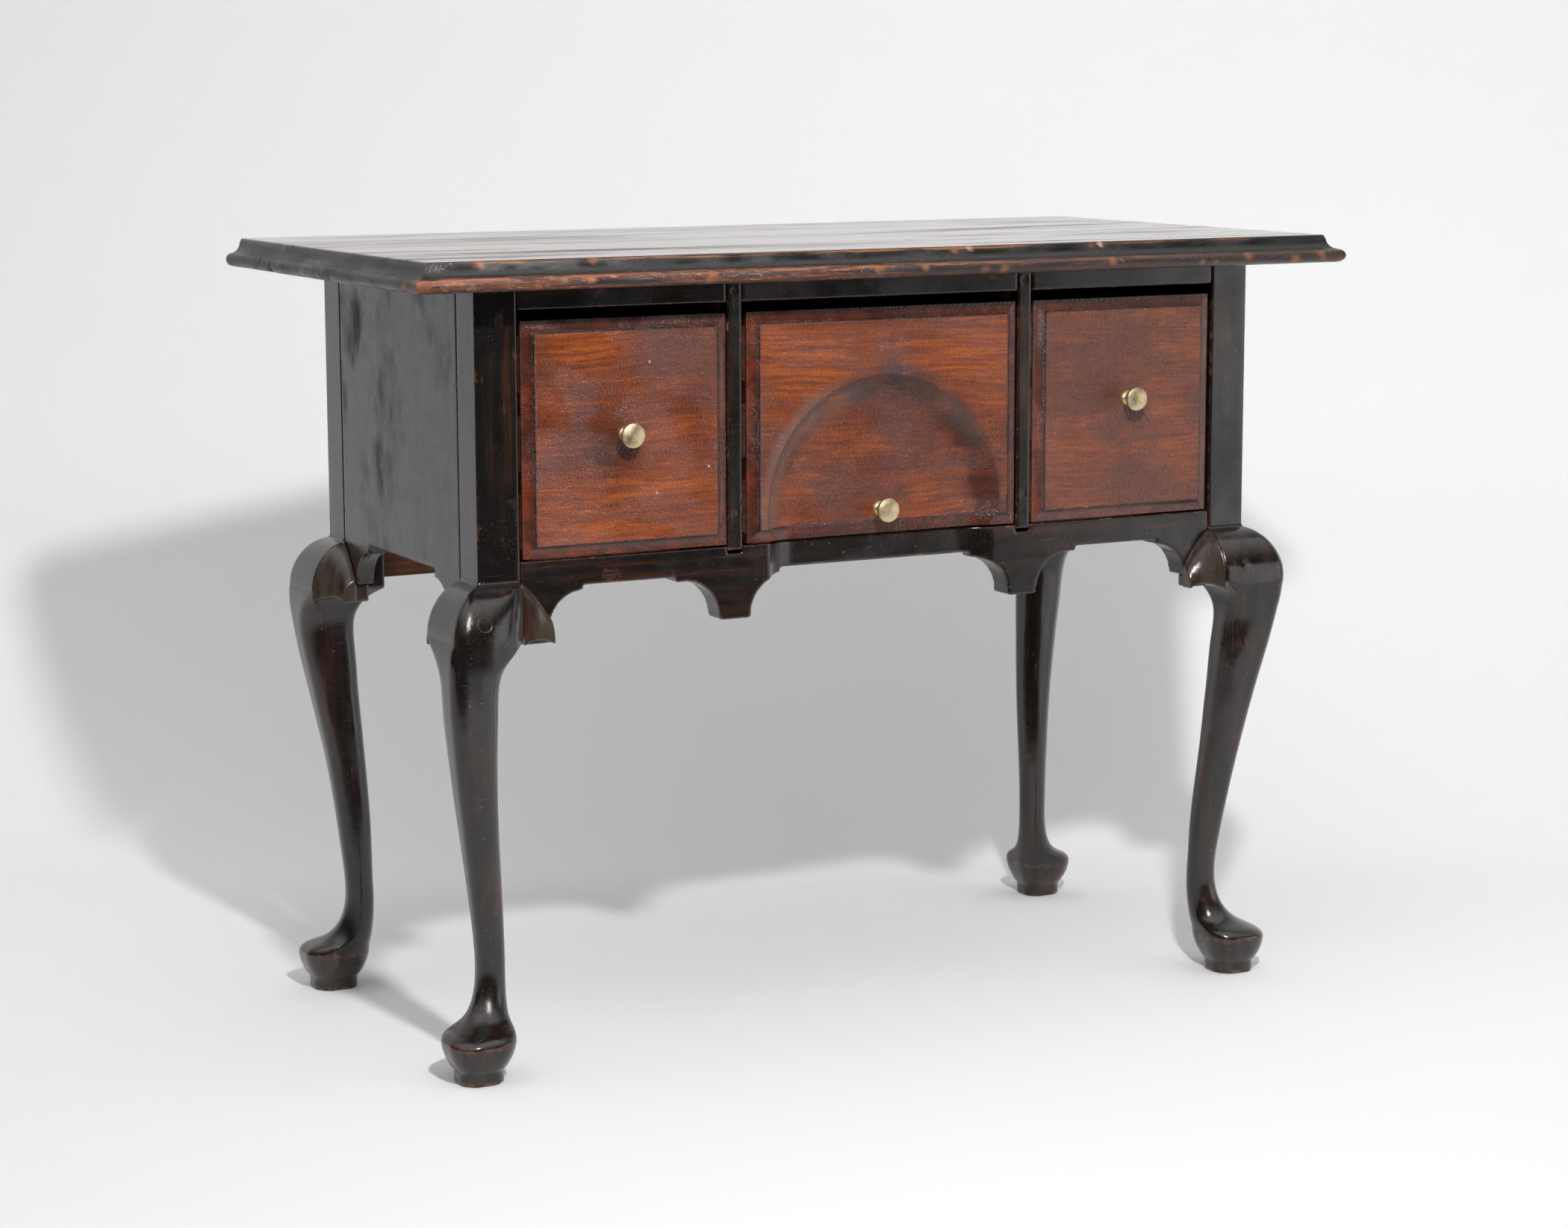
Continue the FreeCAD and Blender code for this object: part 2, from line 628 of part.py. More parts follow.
# ------------------------------------------------------------------ sides, back and the drawers' carcase
def side_panel():
    step_z, end_z = SIDE_FLAT - SIDE_STEP, SIDE_END_Z
    y0, y1 = FRONT_Y + POST, BACK_Y - POST
    front_step, back_step = y0 + SIDE_BRACKET_REACH, y1 - SIDE_BRACKET_REACH
    steps = [
        (y0, end_z),
        quarter((front_step, end_z), (front_step - BRACKET_RADIUS, end_z), (front_step, step_z)),
        (front_step, SIDE_FLAT),
        (back_step, SIDE_FLAT),
        quarter((back_step, end_z), (back_step, step_z), (back_step + BRACKET_RADIUS, end_z)),
        (y1, end_z),
        (y1, TOP_UNDERSIDE),
        (y0, TOP_UNDERSIDE),
    ]
    panel = along_x(steps, SIDE_X - SIDE_THICKNESS, SIDE_X)
    return fuse([panel] + side_tongues())


def inner_runner():
    half = INNER_RUNNER_WIDTH / 2
    z0 = APRON_TOP - RUNNER_THICKNESS
    bar = box(DIVIDER_X - half, DIVIDER_X + half, APRON_BACK_Y, BACK_INNER_Y, z0, APRON_TOP)
    return fuse([bar, runner_tenons(DIVIDER_X, INNER_RUNNER_WIDTH)])


def outer_runner():
    z0 = APRON_TOP - RUNNER_THICKNESS
    x0 = POST_X - OUTER_RUNNER_WIDTH
    bar = box(x0, POST_X, APRON_BACK_Y, BACK_INNER_Y, z0, APRON_TOP)
    return fuse([bar, runner_tenons(POST_X - OUTER_RUNNER_WIDTH / 2, OUTER_RUNNER_WIDTH)])


def inner_guide():
    y0 = FRONT_Y + DIVIDER_DEPTH
    return box(DIVIDER_INNER, DIVIDER_OUTER, y0, BACK_INNER_Y, APRON_TOP, APRON_TOP + GUIDE_HEIGHT)


def outer_guide():
    y0, y1 = FRONT_Y + POST, BACK_Y - POST
    return box(POST_X, SIDE_X - SIDE_THICKNESS, y0, y1, APRON_TOP, APRON_TOP + GUIDE_HEIGHT)


def kicker():
    half = KICKER_WIDTH / 2
    z0 = FRONT_TOP_Z + KICKER_CLEARANCE
    return box(DIVIDER_X - half, DIVIDER_X + half, FRONT_Y + RAIL_DEPTH, BACK_INNER_Y, z0, TOP_UNDERSIDE)


def glue_blocks():
    """Square blocks in the corners under the top: at the sides, behind the rail and at the back."""
    z0 = TOP_UNDERSIDE - GLUE_BLOCK
    half = GLUE_BLOCK_LENGTH / 2
    inner_x = SIDE_X - SIDE_THICKNESS
    quarter_depth = CASE_DEPTH / 4
    blocks = []
    for y in (MIDDLE_Y - quarter_depth, MIDDLE_Y + quarter_depth):
        blocks += both_sides(box(inner_x - GLUE_BLOCK, inner_x, y - half, y + half, z0, TOP_UNDERSIDE))
    rail_y, back_y = FRONT_Y + RAIL_DEPTH, BACK_INNER_Y - GLUE_BLOCK
    for name in DRAWER_GAPS:
        x = sum(opening(name)) / 2
        blocks.append(box(x - half, x + half, rail_y, rail_y + GLUE_BLOCK, z0, TOP_UNDERSIDE))
        blocks.append(box(x - half, x + half, back_y, back_y + GLUE_BLOCK, z0, TOP_UNDERSIDE))
    return blocks


# ------------------------------------------------------------------ drawers
def opening(name):
    """The left and right limits of a drawer's opening between the posts and dividers."""
    limits = {
        "left": (-POST_X, -DIVIDER_OUTER),
        "middle": (-DIVIDER_INNER, DIVIDER_INNER),
        "right": (DIVIDER_OUTER, POST_X),
    }
    return limits[name]


class Drawer:
    """The sizes of one drawer, worked out from its opening."""

    def __init__(self, name):
        left, right = opening(name)
        self.name = name
        self.x0 = left + DRAWER_GAPS[name][0]
        self.x1 = right - DRAWER_GAPS[name][1]
        self.middle_x = (self.x0 + self.x1) / 2
        self.thickness = MIDDLE_FRONT_THICKNESS if name == "middle" else SIDE_FRONT_THICKNESS
        self.face_y = FRONT_Y - FRONT_PROUD
        self.front_back_y = self.face_y + self.thickness
        self.end_y = BACK_INNER_Y - DRAWER_END_GAP
        self.back_y = self.end_y - DRAWER_SIDE_THICKNESS
        self.z0 = APRON_TOP + FRONT_BOTTOM_GAP
        self.z1 = FRONT_TOP_Z
        self.side_z0 = APRON_TOP + RUNNING_CLEARANCE
        self.side_z1 = self.z1 - DRAWER_SIDE_DROP
        self.bottom_z = self.side_z0 + DRAWER_BOTTOM_RISE
        self.bottom_top = self.bottom_z + DRAWER_BOTTOM_THICKNESS
        self.in0 = self.x0 + DRAWER_SIDE_THICKNESS
        self.in1 = self.x1 - DRAWER_SIDE_THICKNESS
        sunk = RECESS_DEPTH if name == "middle" else 0.0
        self.knob_y = self.face_y + sunk
        dx, dz = KNOB_OFFSETS[name]
        self.knob_x = self.middle_x + dx
        self.knob_z = (self.z0 + self.z1) / 2 + dz
        if name == "middle":
            self.knob_z = self.z0 + MIDDLE_KNOB_RISE


def tails(y_shoulder, y_tip, z0, z1, x0, x1):
    """A row of dovetails that widen from the shoulder to the tip."""
    pitch = (z1 - z0) / TAIL_COUNT
    tip = pitch * TAIL_SHARE / 2
    root = tip - abs(y_tip - y_shoulder) * TAIL_SLOPE
    pieces = []
    for i in range(TAIL_COUNT):
        z = z0 + (i + 0.5) * pitch
        steps = [(y_shoulder, z - root), (y_tip, z - tip), (y_tip, z + tip), (y_shoulder, z + root)]
        pieces.append(along_x(steps, x0, x1))
    return pieces


def drawer_side(d, x0, x1, groove_x0, groove_x1):
    board = box(x0, x1, d.front_back_y, d.back_y, d.side_z0, d.side_z1)
    tip = d.face_y + LAP_LEFT
    pieces = [board, box(x0, x1, d.back_y - OVERLAP, d.end_y, d.side_z0, d.bottom_top)]
    pieces += tails(d.front_back_y, tip, d.side_z0, d.side_z1, x0, x1)
    pieces += tails(d.back_y, d.end_y, d.bottom_top, d.side_z1, x0, x1)
    groove = box(groove_x0, groove_x1, d.front_back_y, d.end_y, d.bottom_z, d.bottom_top)
    return fuse(pieces).cut(groove)


def drawer_bottom(d):
    z0, z1 = d.bottom_z, d.bottom_top
    y0 = d.front_back_y
    panel = box(d.in0 - GROOVE_DEPTH, d.in1 + GROOVE_DEPTH, y0, d.end_y, z0, z1)
    tongue = box(d.in0, d.in1, y0 - GROOVE_DEPTH, y0 + OVERLAP, z0, z1)
    return fuse([panel, tongue])


def thumbnail_profile(low, high, face_y, back_y):
    """One direction of a drawer front's moulded edge: (across, depth) steps."""
    lip = face_y + THUMBNAIL_STEP
    edge = lip + THUMBNAIL_FALL
    return [
        (low, back_y),
        arc_through((low, edge), (low + THUMBNAIL_WIDTH, lip), -THUMBNAIL_SAG),
        (low + THUMBNAIL_WIDTH, face_y),
        (high - THUMBNAIL_WIDTH, face_y),
        arc_through((high - THUMBNAIL_WIDTH, lip), (high, edge), -THUMBNAIL_SAG),
        (high, back_y),
    ]


def arched_recess(d):
    """The sunk arch of the middle drawer, with its coved border."""
    centre_z = d.z0 + ARCH_HEIGHT - ARCH_HALF_WIDTH
    plan = recess_plan(ARCH_HALF_WIDTH, d.face_y)
    cove = plan[2]
    half = [(0, d.face_y - OVERRUN), plan[1], cove, (0, d.face_y + RECESS_DEPTH)]
    disc = outline(half, lambda x, y: vec(x, y, centre_z)).revolve(vec(0, 0, centre_z), Y_AXIS, 360)
    legs = along_z(plan, d.z0 - OVERRUN, centre_z)
    return fuse([disc, legs])


def drawer_front(d, sides):
    across = thumbnail_profile(d.x0, d.x1, d.face_y, d.front_back_y)
    upward = thumbnail_profile(d.z0, d.z1, d.face_y, d.front_back_y)
    board = along_z(across, d.z0, d.z1)
    board = board.common(outline(upward, lambda z, y: vec(d.x0, y, z)).extrude(vec(d.x1 - d.x0, 0, 0)))
    if d.name == "middle":
        board = board.cut(arched_recess(d))
    return board.cut(Part.makeCompound(sides))


def knob(d):
    """A turned brass mushroom knob and its threaded shank, as one piece."""
    out = KNOB_PROJECTION
    neck, rose, rim = KNOB_NECK_DIAMETER / 2, KNOB_ROSE_DIAMETER / 2, KNOB_DIAMETER / 2
    edge, shank = rim - KNOB_EDGE, KNOB_SHANK_DIAMETER / 2
    edge_out = out - KNOB_DOME
    ball = (edge ** 2 + KNOB_DOME ** 2) / (2 * KNOB_DOME)
    dome_sag = ball - math.sqrt(ball ** 2 - (edge ** 2 + KNOB_DOME ** 2) / 4)
    length = d.front_back_y - d.knob_y + KNOB_NUT_THICKNESS + KNOB_SHANK_END
    steps = [
        (0, -length),
        (shank, -length),
        (shank, 0),
        (rose, 0),
        arc_through((rose, KNOB_ROSE_THICKNESS), (neck, KNOB_NECK_START), -KNOB_SWEEP),
        arc_through((neck, KNOB_NECK_END), (rim, edge_out - KNOB_RIM_THICKNESS), KNOB_SWEEP),
        arc_through((rim, edge_out - KNOB_EDGE), (edge, edge_out), KNOB_EDGE / 4),
        arc_through((edge, edge_out), (0, out), dome_sag),
    ]
    turned = outline(steps, lambda r, h: vec(d.knob_x + r, d.knob_y - h, d.knob_z))
    return turned.revolve(vec(d.knob_x, 0, d.knob_z), Y_AXIS, 360)


def knob_nut(d):
    start = vec(d.knob_x, d.front_back_y, d.knob_z)
    plate = cylinder(start, Y_AXIS, KNOB_NUT_DIAMETER, KNOB_NUT_THICKNESS)
    return plate.cut(cylinder(start, Y_AXIS, KNOB_SHANK_DIAMETER, KNOB_NUT_THICKNESS))


def nail(point, direction, length):
    """A nail driven at point along direction, with its head flush."""
    shank = cylinder(point, direction, NAIL_DIAMETER, length)
    return fuse([cylinder(point, direction, NAIL_HEAD_DIAMETER, NAIL_HEAD_THICKNESS), shank])


def make_drawer(name):
    d = Drawer(name)
    left = drawer_side(d, d.x0, d.in0, d.in0 - GROOVE_DEPTH, d.in0)
    right = drawer_side(d, d.in1, d.x1, d.in1, d.in1 + GROOVE_DEPTH)
    bottom = drawer_bottom(d)
    turned = knob(d)
    front = drawer_front(d, [left, right]).cut(bottom).cut(turned)
    back = box(d.x0, d.x1, d.back_y, d.end_y, d.bottom_top, d.side_z1).cut(left).cut(right)
    nail_y = (d.back_y + d.end_y) / 2
    spread = (d.in1 - d.in0) / 3
    nails = []
    for x in (d.middle_x - spread, d.middle_x, d.middle_x + spread):
        nails.append(nail(vec(x, nail_y, d.bottom_z), Z_AXIS, BOTTOM_NAIL_LENGTH))
    driven = Part.makeCompound(nails)
    return {
        "front": front,
        "side_left": left,
        "side_right": right,
        "back": back.cut(driven),
        "bottom": bottom.cut(driven),
        "bottom_nails": driven,
        "knob": turned,
        "knob_nut": knob_nut(d),
    }


# ------------------------------------------------------------------ nails and stops in the case
def divider_nails():
    """One nail through each divider into the guide behind it, one into the rail."""
    low = vec(DIVIDER_X, FRONT_Y, APRON_TOP + GUIDE_HEIGHT - NAIL_HEAD_DIAMETER)
    high = vec(DIVIDER_X, FRONT_Y, (RAIL_BOTTOM + TOP_UNDERSIDE) / 2)
    nails = [nail(low, Y_AXIS, 2 * DIVIDER_DEPTH), nail(high, Y_AXIS, (DIVIDER_DEPTH + RAIL_DEPTH) / 2)]
    return [turned for one in nails for turned in both_sides(one)]


def back_nails():
    """Nails through the back into the posts' rabbets and the ends of the runners."""
    forward = vec(0, -1, 0)
    x = POST_X + BACK_RABBET / 2
    span = TOP_UNDERSIDE - LEG_HEIGHT
    heights = [LEG_HEIGHT + span * share for share in (0.15, 0.5, 0.85)]
    nails = [nail(vec(x, BACK_Y, z), forward, BACK_NAIL_LENGTH) for z in heights]
    z = APRON_TOP - RUNNER_THICKNESS / 2
    for x in (DIVIDER_X, POST_X - OUTER_RUNNER_WIDTH / 2):
        nails.append(nail(vec(x, BACK_Y, z), forward, RUNNER_NAIL_LENGTH))
    return [turned for one in nails for turned in both_sides(one)]


def drawer_stops():
    blocks = []
    for name in DRAWER_GAPS:
        d = Drawer(name)
        half = STOP_WIDTH / 2
        z0 = (d.z0 + d.z1) / 2 - STOP_HEIGHT / 2
        y0 = d.end_y + RUNNING_CLEARANCE
        blocks.append(box(d.middle_x - half, d.middle_x + half, y0, BACK_INNER_Y, z0, z0 + STOP_HEIGHT))
    return blocks


def tenon_pegs():
    """Pegs through the front posts into the tenons: two at the knees, two at the rail."""
    length = TENON_SETBACK + TENON_THICKNESS
    knee_z = BRACKET_END_Z + TENON_SHOULDER + KNEE_PEG_RISE
    reach = knee_reach(knee_z)
    knee = cylinder(vec(TENON_PEG_X, FRONT_Y - reach, knee_z), Y_AXIS, KNEE_PEG_DIAMETER, reach + length)
    rail_z = (RAIL_BOTTOM + TOP_UNDERSIDE) / 2
    rail = cylinder(vec(TENON_PEG_X, FRONT_Y, rail_z), Y_AXIS, RAIL_PEG_DIAMETER, length)
    return both_sides(knee) + both_sides(rail)


# ------------------------------------------------------------------ the whole piece
def build():
    parts = {}
    pegs = top_pegs()
    for name, board in top_boards(pegs).items():
        parts["top_board_" + name] = board
    parts["pegs"] = Part.makeCompound(pegs + tenon_pegs())
    parts["divider_nails"] = Part.makeCompound(divider_nails())
    parts["back_nails"] = Part.makeCompound(back_nails())

    joints = both_sides(apron_tenon()) + both_sides(rail_tenon()) + [back_board()]
    joints += side_tongues() + [flip_x(tongue) for tongue in side_tongues()]
    face_block = knee_block(BRACKET_END_Z)
    side_block = swap_xy(knee_block(SIDE_END_Z))
    for right, side_name in ((False, "left"), (True, "right")):
        for back, end_name in ((False, "front"), (True, "back")):
            corner = end_name + "_" + side_name
            lean = [amount if right else -amount for amount in LEG_LEAN[corner]]
            leg = to_corner(leg_blank(lean), right, back).cut(Part.makeCompound(joints))
            parts["leg_" + corner] = leg.cut(parts["back_nails"]) if back else leg.cut(parts["pegs"])
            parts["knee_block_" + corner + "_side"] = to_corner(side_block, right, back)
        parts["knee_block_front_" + side_name + "_face"] = to_corner(face_block, right, False)

    parts["front_apron"] = front_apron().cut(parts["pegs"])
    parts["top_rail"] = top_rail().cut(parts["divider_nails"]).cut(parts["pegs"])
    halves = {
        "divider": divider().cut(parts["divider_nails"]),
        "side_panel": side_panel().cut(parts["pegs"]),
        "inner_runner": inner_runner().cut(parts["back_nails"]),
        "outer_runner": outer_runner().cut(parts["back_nails"]),
        "inner_guide": inner_guide().cut(parts["divider_nails"]),
        "outer_guide": outer_guide(),
        "kicker": kicker(),
    }
    for name, shape in halves.items():
        parts[name + "_right"] = shape
        parts[name + "_left"] = flip_x(shape)
    parts["back_panel"] = back_board().cut(parts["back_nails"])
    parts["drawer_stops"] = Part.makeCompound(drawer_stops())
    parts["top_glue_blocks"] = Part.makeCompound(glue_blocks())

    for name in DRAWER_GAPS:
        for piece, shape in make_drawer(name).items():
            parts["drawer_" + name + "_" + piece] = shape
    return parts


os.makedirs("parts", exist_ok=True)
for part_name, part_shape in build().items():
    save(part_name, part_shape)
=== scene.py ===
import bmesh
import bpy
import math
import random
from mathutils import Matrix, Vector, noise


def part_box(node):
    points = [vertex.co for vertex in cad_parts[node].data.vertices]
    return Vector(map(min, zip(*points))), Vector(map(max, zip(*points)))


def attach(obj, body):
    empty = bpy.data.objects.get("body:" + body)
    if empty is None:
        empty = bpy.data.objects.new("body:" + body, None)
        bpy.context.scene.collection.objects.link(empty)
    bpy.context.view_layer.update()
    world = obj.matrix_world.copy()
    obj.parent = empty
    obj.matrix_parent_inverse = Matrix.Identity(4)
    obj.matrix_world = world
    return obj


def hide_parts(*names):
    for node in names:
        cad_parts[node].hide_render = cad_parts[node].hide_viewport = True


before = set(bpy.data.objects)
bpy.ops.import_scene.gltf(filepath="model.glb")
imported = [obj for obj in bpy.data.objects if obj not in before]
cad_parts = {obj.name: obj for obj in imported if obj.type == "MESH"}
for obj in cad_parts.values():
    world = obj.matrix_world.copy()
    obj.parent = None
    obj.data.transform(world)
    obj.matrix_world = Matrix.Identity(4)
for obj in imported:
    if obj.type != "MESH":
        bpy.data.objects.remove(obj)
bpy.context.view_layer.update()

# A worn Queen Anne lowboy. Metres, +Z up, the front faces -Y, x = 0 is the middle of the front.
MM = 0.001
scene = bpy.context.scene
rng = random.Random(1740)

# ------ places read from the frame
TOP_LOW, TOP_FRONT_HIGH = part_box("top_board_front")
TOP_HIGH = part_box("top_board_back")[1]
TOP_Z, UNDER_Z = TOP_HIGH.z, TOP_LOW.z
HALF_WIDTH = TOP_HIGH.x
FRONT_EDGE_Y, BACK_EDGE_Y = TOP_LOW.y, TOP_HIGH.y
FIRST_SEAM_Y, SECOND_SEAM_Y = TOP_FRONT_HIGH.y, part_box("top_board_middle")[1].y
CASE_FRONT_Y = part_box("top_rail")[0].y
CASE_SIDE_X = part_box("side_panel_right")[1].x

# Sizes of the solids that their boxes don't give
POST = 40 * MM
FOOT_EDGE_Z = 36.5 * MM
SHOULDER_Z = 392 * MM
KNEE_TOP_Z = 439 * MM
KNEE_BULGE = 33 * MM
BLOCK_LENGTH = 28 * MM
ARCH_HALF_WIDTH = 121 * MM
ARCH_HEIGHT = 145 * MM
RIM_WIDTH = 10.7 * MM

# The moulding's profile, as in the solid: an arris, a fillet, a cove and a bead
MOULD_REACH = 15 * MM
ARRIS_ROUND = 2.2 * MM
COVE_OUT = 1 * MM
COVE_DROP = 4 * MM
COVE_SAG = 1.9 * MM
NOSE_RADIUS = 6.1 * MM


def add_object(name, data):
    made = bpy.data.objects.new(name, data)
    scene.collection.objects.link(made)
    return made


# ------ camera
CAMERA_PLACE = Vector((-1.5424, -2.901, 0.8833))
CAMERA_YAW = math.radians(27.93)
CAMERA_PITCH = math.radians(9.08)
CAMERA_ROLL = -0.0027
CAMERA_LENS = 79.35
CAMERA_SENSOR = 36.0
AHEAD = Vector((math.sin(CAMERA_YAW), math.cos(CAMERA_YAW), 0))
RIGHT = Vector((math.cos(CAMERA_YAW), -math.sin(CAMERA_YAW), 0))


def make_camera():
    """The camera looks from the front left, a little above the top."""
    sight = AHEAD * math.cos(CAMERA_PITCH) - Vector((0, 0, math.sin(CAMERA_PITCH)))
    up = RIGHT.cross(sight)
    rolled_right = RIGHT * math.cos(CAMERA_ROLL) + up * math.sin(CAMERA_ROLL)
    rolled_up = up * math.cos(CAMERA_ROLL) - RIGHT * math.sin(CAMERA_ROLL)
    camera = add_object("camera", bpy.data.cameras.new("camera"))
    turn = Matrix((rolled_right, rolled_up, -sight)).transposed().to_4x4()
    turn.translation = CAMERA_PLACE
    camera.matrix_world = turn
    camera.data.lens = CAMERA_LENS
    camera.data.sensor_width = CAMERA_SENSOR
    scene.camera = camera
    scene.view_settings.view_transform = "Standard"


make_camera()


# ------ shader graphs
class Graph:
    """A node tree, built by short calls that return sockets."""

    def __init__(self, tree, coordinates="Object"):
        self.nodes, self.links = tree.nodes, tree.links
        self.place = self.node("TexCoord").outputs[coordinates]
        parts = self.node("SeparateXYZ", {0: self.place}).outputs
        self.x, self.y, self.z = parts[0], parts[1], parts[2]

    def node(self, kind, inputs=None, **settings):
        made = self.nodes.new("ShaderNode" + kind)
        for key, value in settings.items():
            setattr(made, key, value)
        for key, value in (inputs or {}).items():
            self.feed(made.inputs[key], value)
        return made

    def feed(self, socket, value):
        if isinstance(value, bpy.types.NodeSocket):
            self.links.new(value, socket)
        elif socket.type == "RGBA" and len(value) == 3:
            socket.default_value = (*value, 1.0)
        else:
            socket.default_value = value

    def math(self, kind, a, b=0.0):
        return self.node("Math", {0: a, 1: b}, operation=kind).outputs[0]

    def chain(self, kind, values):
        total = values[0]
        for value in values[1:]:
            total = self.math(kind, total, value)
        return total

    def add(self, *values):
        return self.chain("ADD", values)

    def times(self, *values):
        return self.chain("MULTIPLY", values)

    def without(self, share):
        return self.math("SUBTRACT", 1.0, share)

    def window(self, value, low, high, start=0.0, end=1.0):
        """start below low, end above high, smooth between; low may be the larger."""
        inputs = {0: value, 1: low, 2: high, 3: start, 4: end}
        if low > high:
            inputs = {0: value, 1: high, 2: low, 3: end, 4: start}
        return self.node("MapRange", inputs, interpolation_type="SMOOTHSTEP").outputs[0]

    def band(self, value, middle, half, soft):
        """1 within half of middle, falling to 0 over soft."""
        away = self.math("ABSOLUTE", self.math("SUBTRACT", value, middle))
        return self.window(away, half + soft, half)

    def mix(self, share, a, b):
        made = self.node("Mix", data_type="RGBA")
        for index, value in ((0, share), (6, a), (7, b)):
            self.feed(made.inputs[index], value)
        return made.outputs[2]

    def tint(self, color, other, *shares):
        """The colour, covered by the other one by the product of the shares."""
        return self.mix(self.times(*shares), color, other)

    def cover(self, other, *shares):
        """Cover the colour so far, self.color, in the same way."""
        self.color = self.tint(self.color, other, *shares)

    def scaled(self, scale, at=(0, 0, 0), turn=(0, 0, 0)):
        scale = scale if isinstance(scale, tuple) else (scale,) * 3
        return self.node("Mapping", {0: self.place, 1: at, 2: turn, 3: scale}).outputs[0]

    def noise_at(self, place, detail, rough, twist=0.0):
        inputs = {"Vector": place, "Scale": 1.0, "Detail": detail, "Roughness": rough, "Distortion": twist}
        return self.node("TexNoise", inputs).outputs["Fac"]

    def noise(self, scale, detail=4.0, rough=0.55, twist=0.0, at=(0, 0, 0)):
        """Noise with so many features per metre, in all directions or in x, y and z."""
        return self.noise_at(self.scaled(scale, at), detail, rough, twist)

    def spots(self, scale, low, high, start=0.0, end=1.0, **look):
        """A window on noise: patches, flecks or streaks with soft borders."""
        return self.window(self.noise(scale, **look), low, high, start, end)

    def cells(self, scale, feature="DISTANCE_TO_EDGE"):
        inputs = {"Vector": self.scaled(scale), "Scale": 1.0}
        return self.node("TexVoronoi", inputs, feature=feature).outputs["Distance"]

    def distance(self, place):
        inputs = {0: self.place, 1: place}
        return self.node("VectorMath", inputs, operation="DISTANCE").outputs["Value"]

    def bump(self, height, depth, strength):
        inputs = {"Strength": strength, "Distance": depth, "Height": height}
        return self.node("Bump", inputs).outputs[0]

    def attribute(self, name):
        return self.node("Attribute", attribute_name=name).outputs["Fac"]

    def convexity(self):
        """0.5 on flat surfaces, more along edges, less in corners; for evenly meshed pieces."""
        return self.node("NewGeometry").outputs["Pointiness"]

    def camera_ray(self):
        return self.node("LightPath").outputs["Is Camera Ray"]

    def show(self, output, share, shader, other):
        """Send a mix of two shaders to the named output node."""
        both = self.node("MixShader", {0: share, 1: shader, 2: other}).outputs[0]
        self.links.new(both, self.nodes[output].inputs[0])


class Surface(Graph):
    """The graph of a new material with one principled shader."""

    SOCKETS = {"color": "Base Color", "rough": "Roughness", "metal": "Metallic", "coat": "Coat Weight",
               "coat_rough": "Coat Roughness", "normal": "Normal", "coat_normal": "Coat Normal",
               "specular": "Specular IOR Level", "glow": "Emission Color",
               "glow_strength": "Emission Strength"}

    def __init__(self, name):
        self.material = bpy.data.materials.new(name)
        self.material.use_nodes = True
        super().__init__(self.material.node_tree)
        self.shader = self.nodes["Principled BSDF"]

    def set(self, **inputs):
        for key, value in inputs.items():
            self.feed(self.shader.inputs[self.SOCKETS[key]], value)

    def varnished(self, height, strength, rough, coat, coat_rough):
        """The colour so far under varnish, bumped by a height in millimetres."""
        normal = self.bump(height, 1 * MM, strength)
        self.set(color=self.color, rough=rough, normal=normal, coat=coat, coat_rough=coat_rough,
                 coat_normal=normal)
        return self.material

    def see_through(self, share):
        """Make the material clear by share."""
        clear = self.node("BsdfTransparent").outputs[0]
        self.show("Material Output", share, self.shader.outputs[0], clear)


def along(axis, length, width):
    """Noise scales for streaks that run along an axis: features per metre lengthwise and across."""
    scale = [width] * 3
    scale["xyz".index(axis)] = length
    return tuple(scale)


# ------ stage and light
# Depths are measured level from the piece's middle, away from the camera
STAGE_FRONT = -0.85
FLOOR_TURN = 0.15
SWEEP_START = 0.44
FLOOR_FAR = 2.2
SWEEP_RADIUS = 0.35
SWEEP_STEPS = 32
STAGE_HALF_WIDTH = 3.0
STAGE_TOP = 6.0
FLOOR_HALF = 9.0
FLOOR_DROP = 1 * MM
FLOOR_FRONT_COLOR = (0.68, 0.68, 0.682)
FLOOR_COLOR = (0.8, 0.8, 0.802)
WALL_COLOR = (0.97, 0.97, 0.972)
WHITE = (1.0, 1.0, 1.0)
WALL_COLOR_Z = 0.5
WALL_LIFT_Z = 0.4
PAPER_LIFT = 0.015
WALL_LIFT = 0.045
FLOOR_LIFT_BEYOND = 0.14

# Lamps: place, target, size, power and shape
KEY = ((-0.541, -1.777, 1.67), (0.0, 0.05, 0.35), 0.13, 38, "DISK")
CARD_RIGHT = ((3.35, -2.72, 0.25), (0.2, -0.2, 0.4), 2.6, 30, "SQUARE")
ROOM_BELOW = (0.05, 0.05, 0.05)
ROOM_ABOVE = (1.55, 1.55, 1.55)
ROOM_SEEN = (0.9, 0.9, 0.9)
ROOM_RISE = 0.35


def stage_depth(g):
    return g.add(g.times(g.x, AHEAD.x), g.times(g.y, AHEAD.y))


def floor_tone(g, depth):
    """The floor's colour, a little paler towards the wall."""
    return g.mix(g.window(depth, STAGE_FRONT, FLOOR_TURN), FLOOR_FRONT_COLOR, FLOOR_COLOR)


def paper_material():
    """Pale matt paper that is seen only from its front, so the views from behind look through it."""
    g = Surface("stage_paper")
    color = g.mix(g.window(g.z, 0.0, WALL_COLOR_Z), floor_tone(g, stage_depth(g)), WALL_COLOR)
    lift = g.window(g.z, 0.0, WALL_LIFT_Z, PAPER_LIFT, WALL_LIFT)
    g.set(color=color, rough=1.0, specular=0.0, glow=WHITE, glow_strength=g.times(g.camera_ray(), lift))
    g.see_through(g.node("NewGeometry").outputs["Backfacing"])
    return g.material


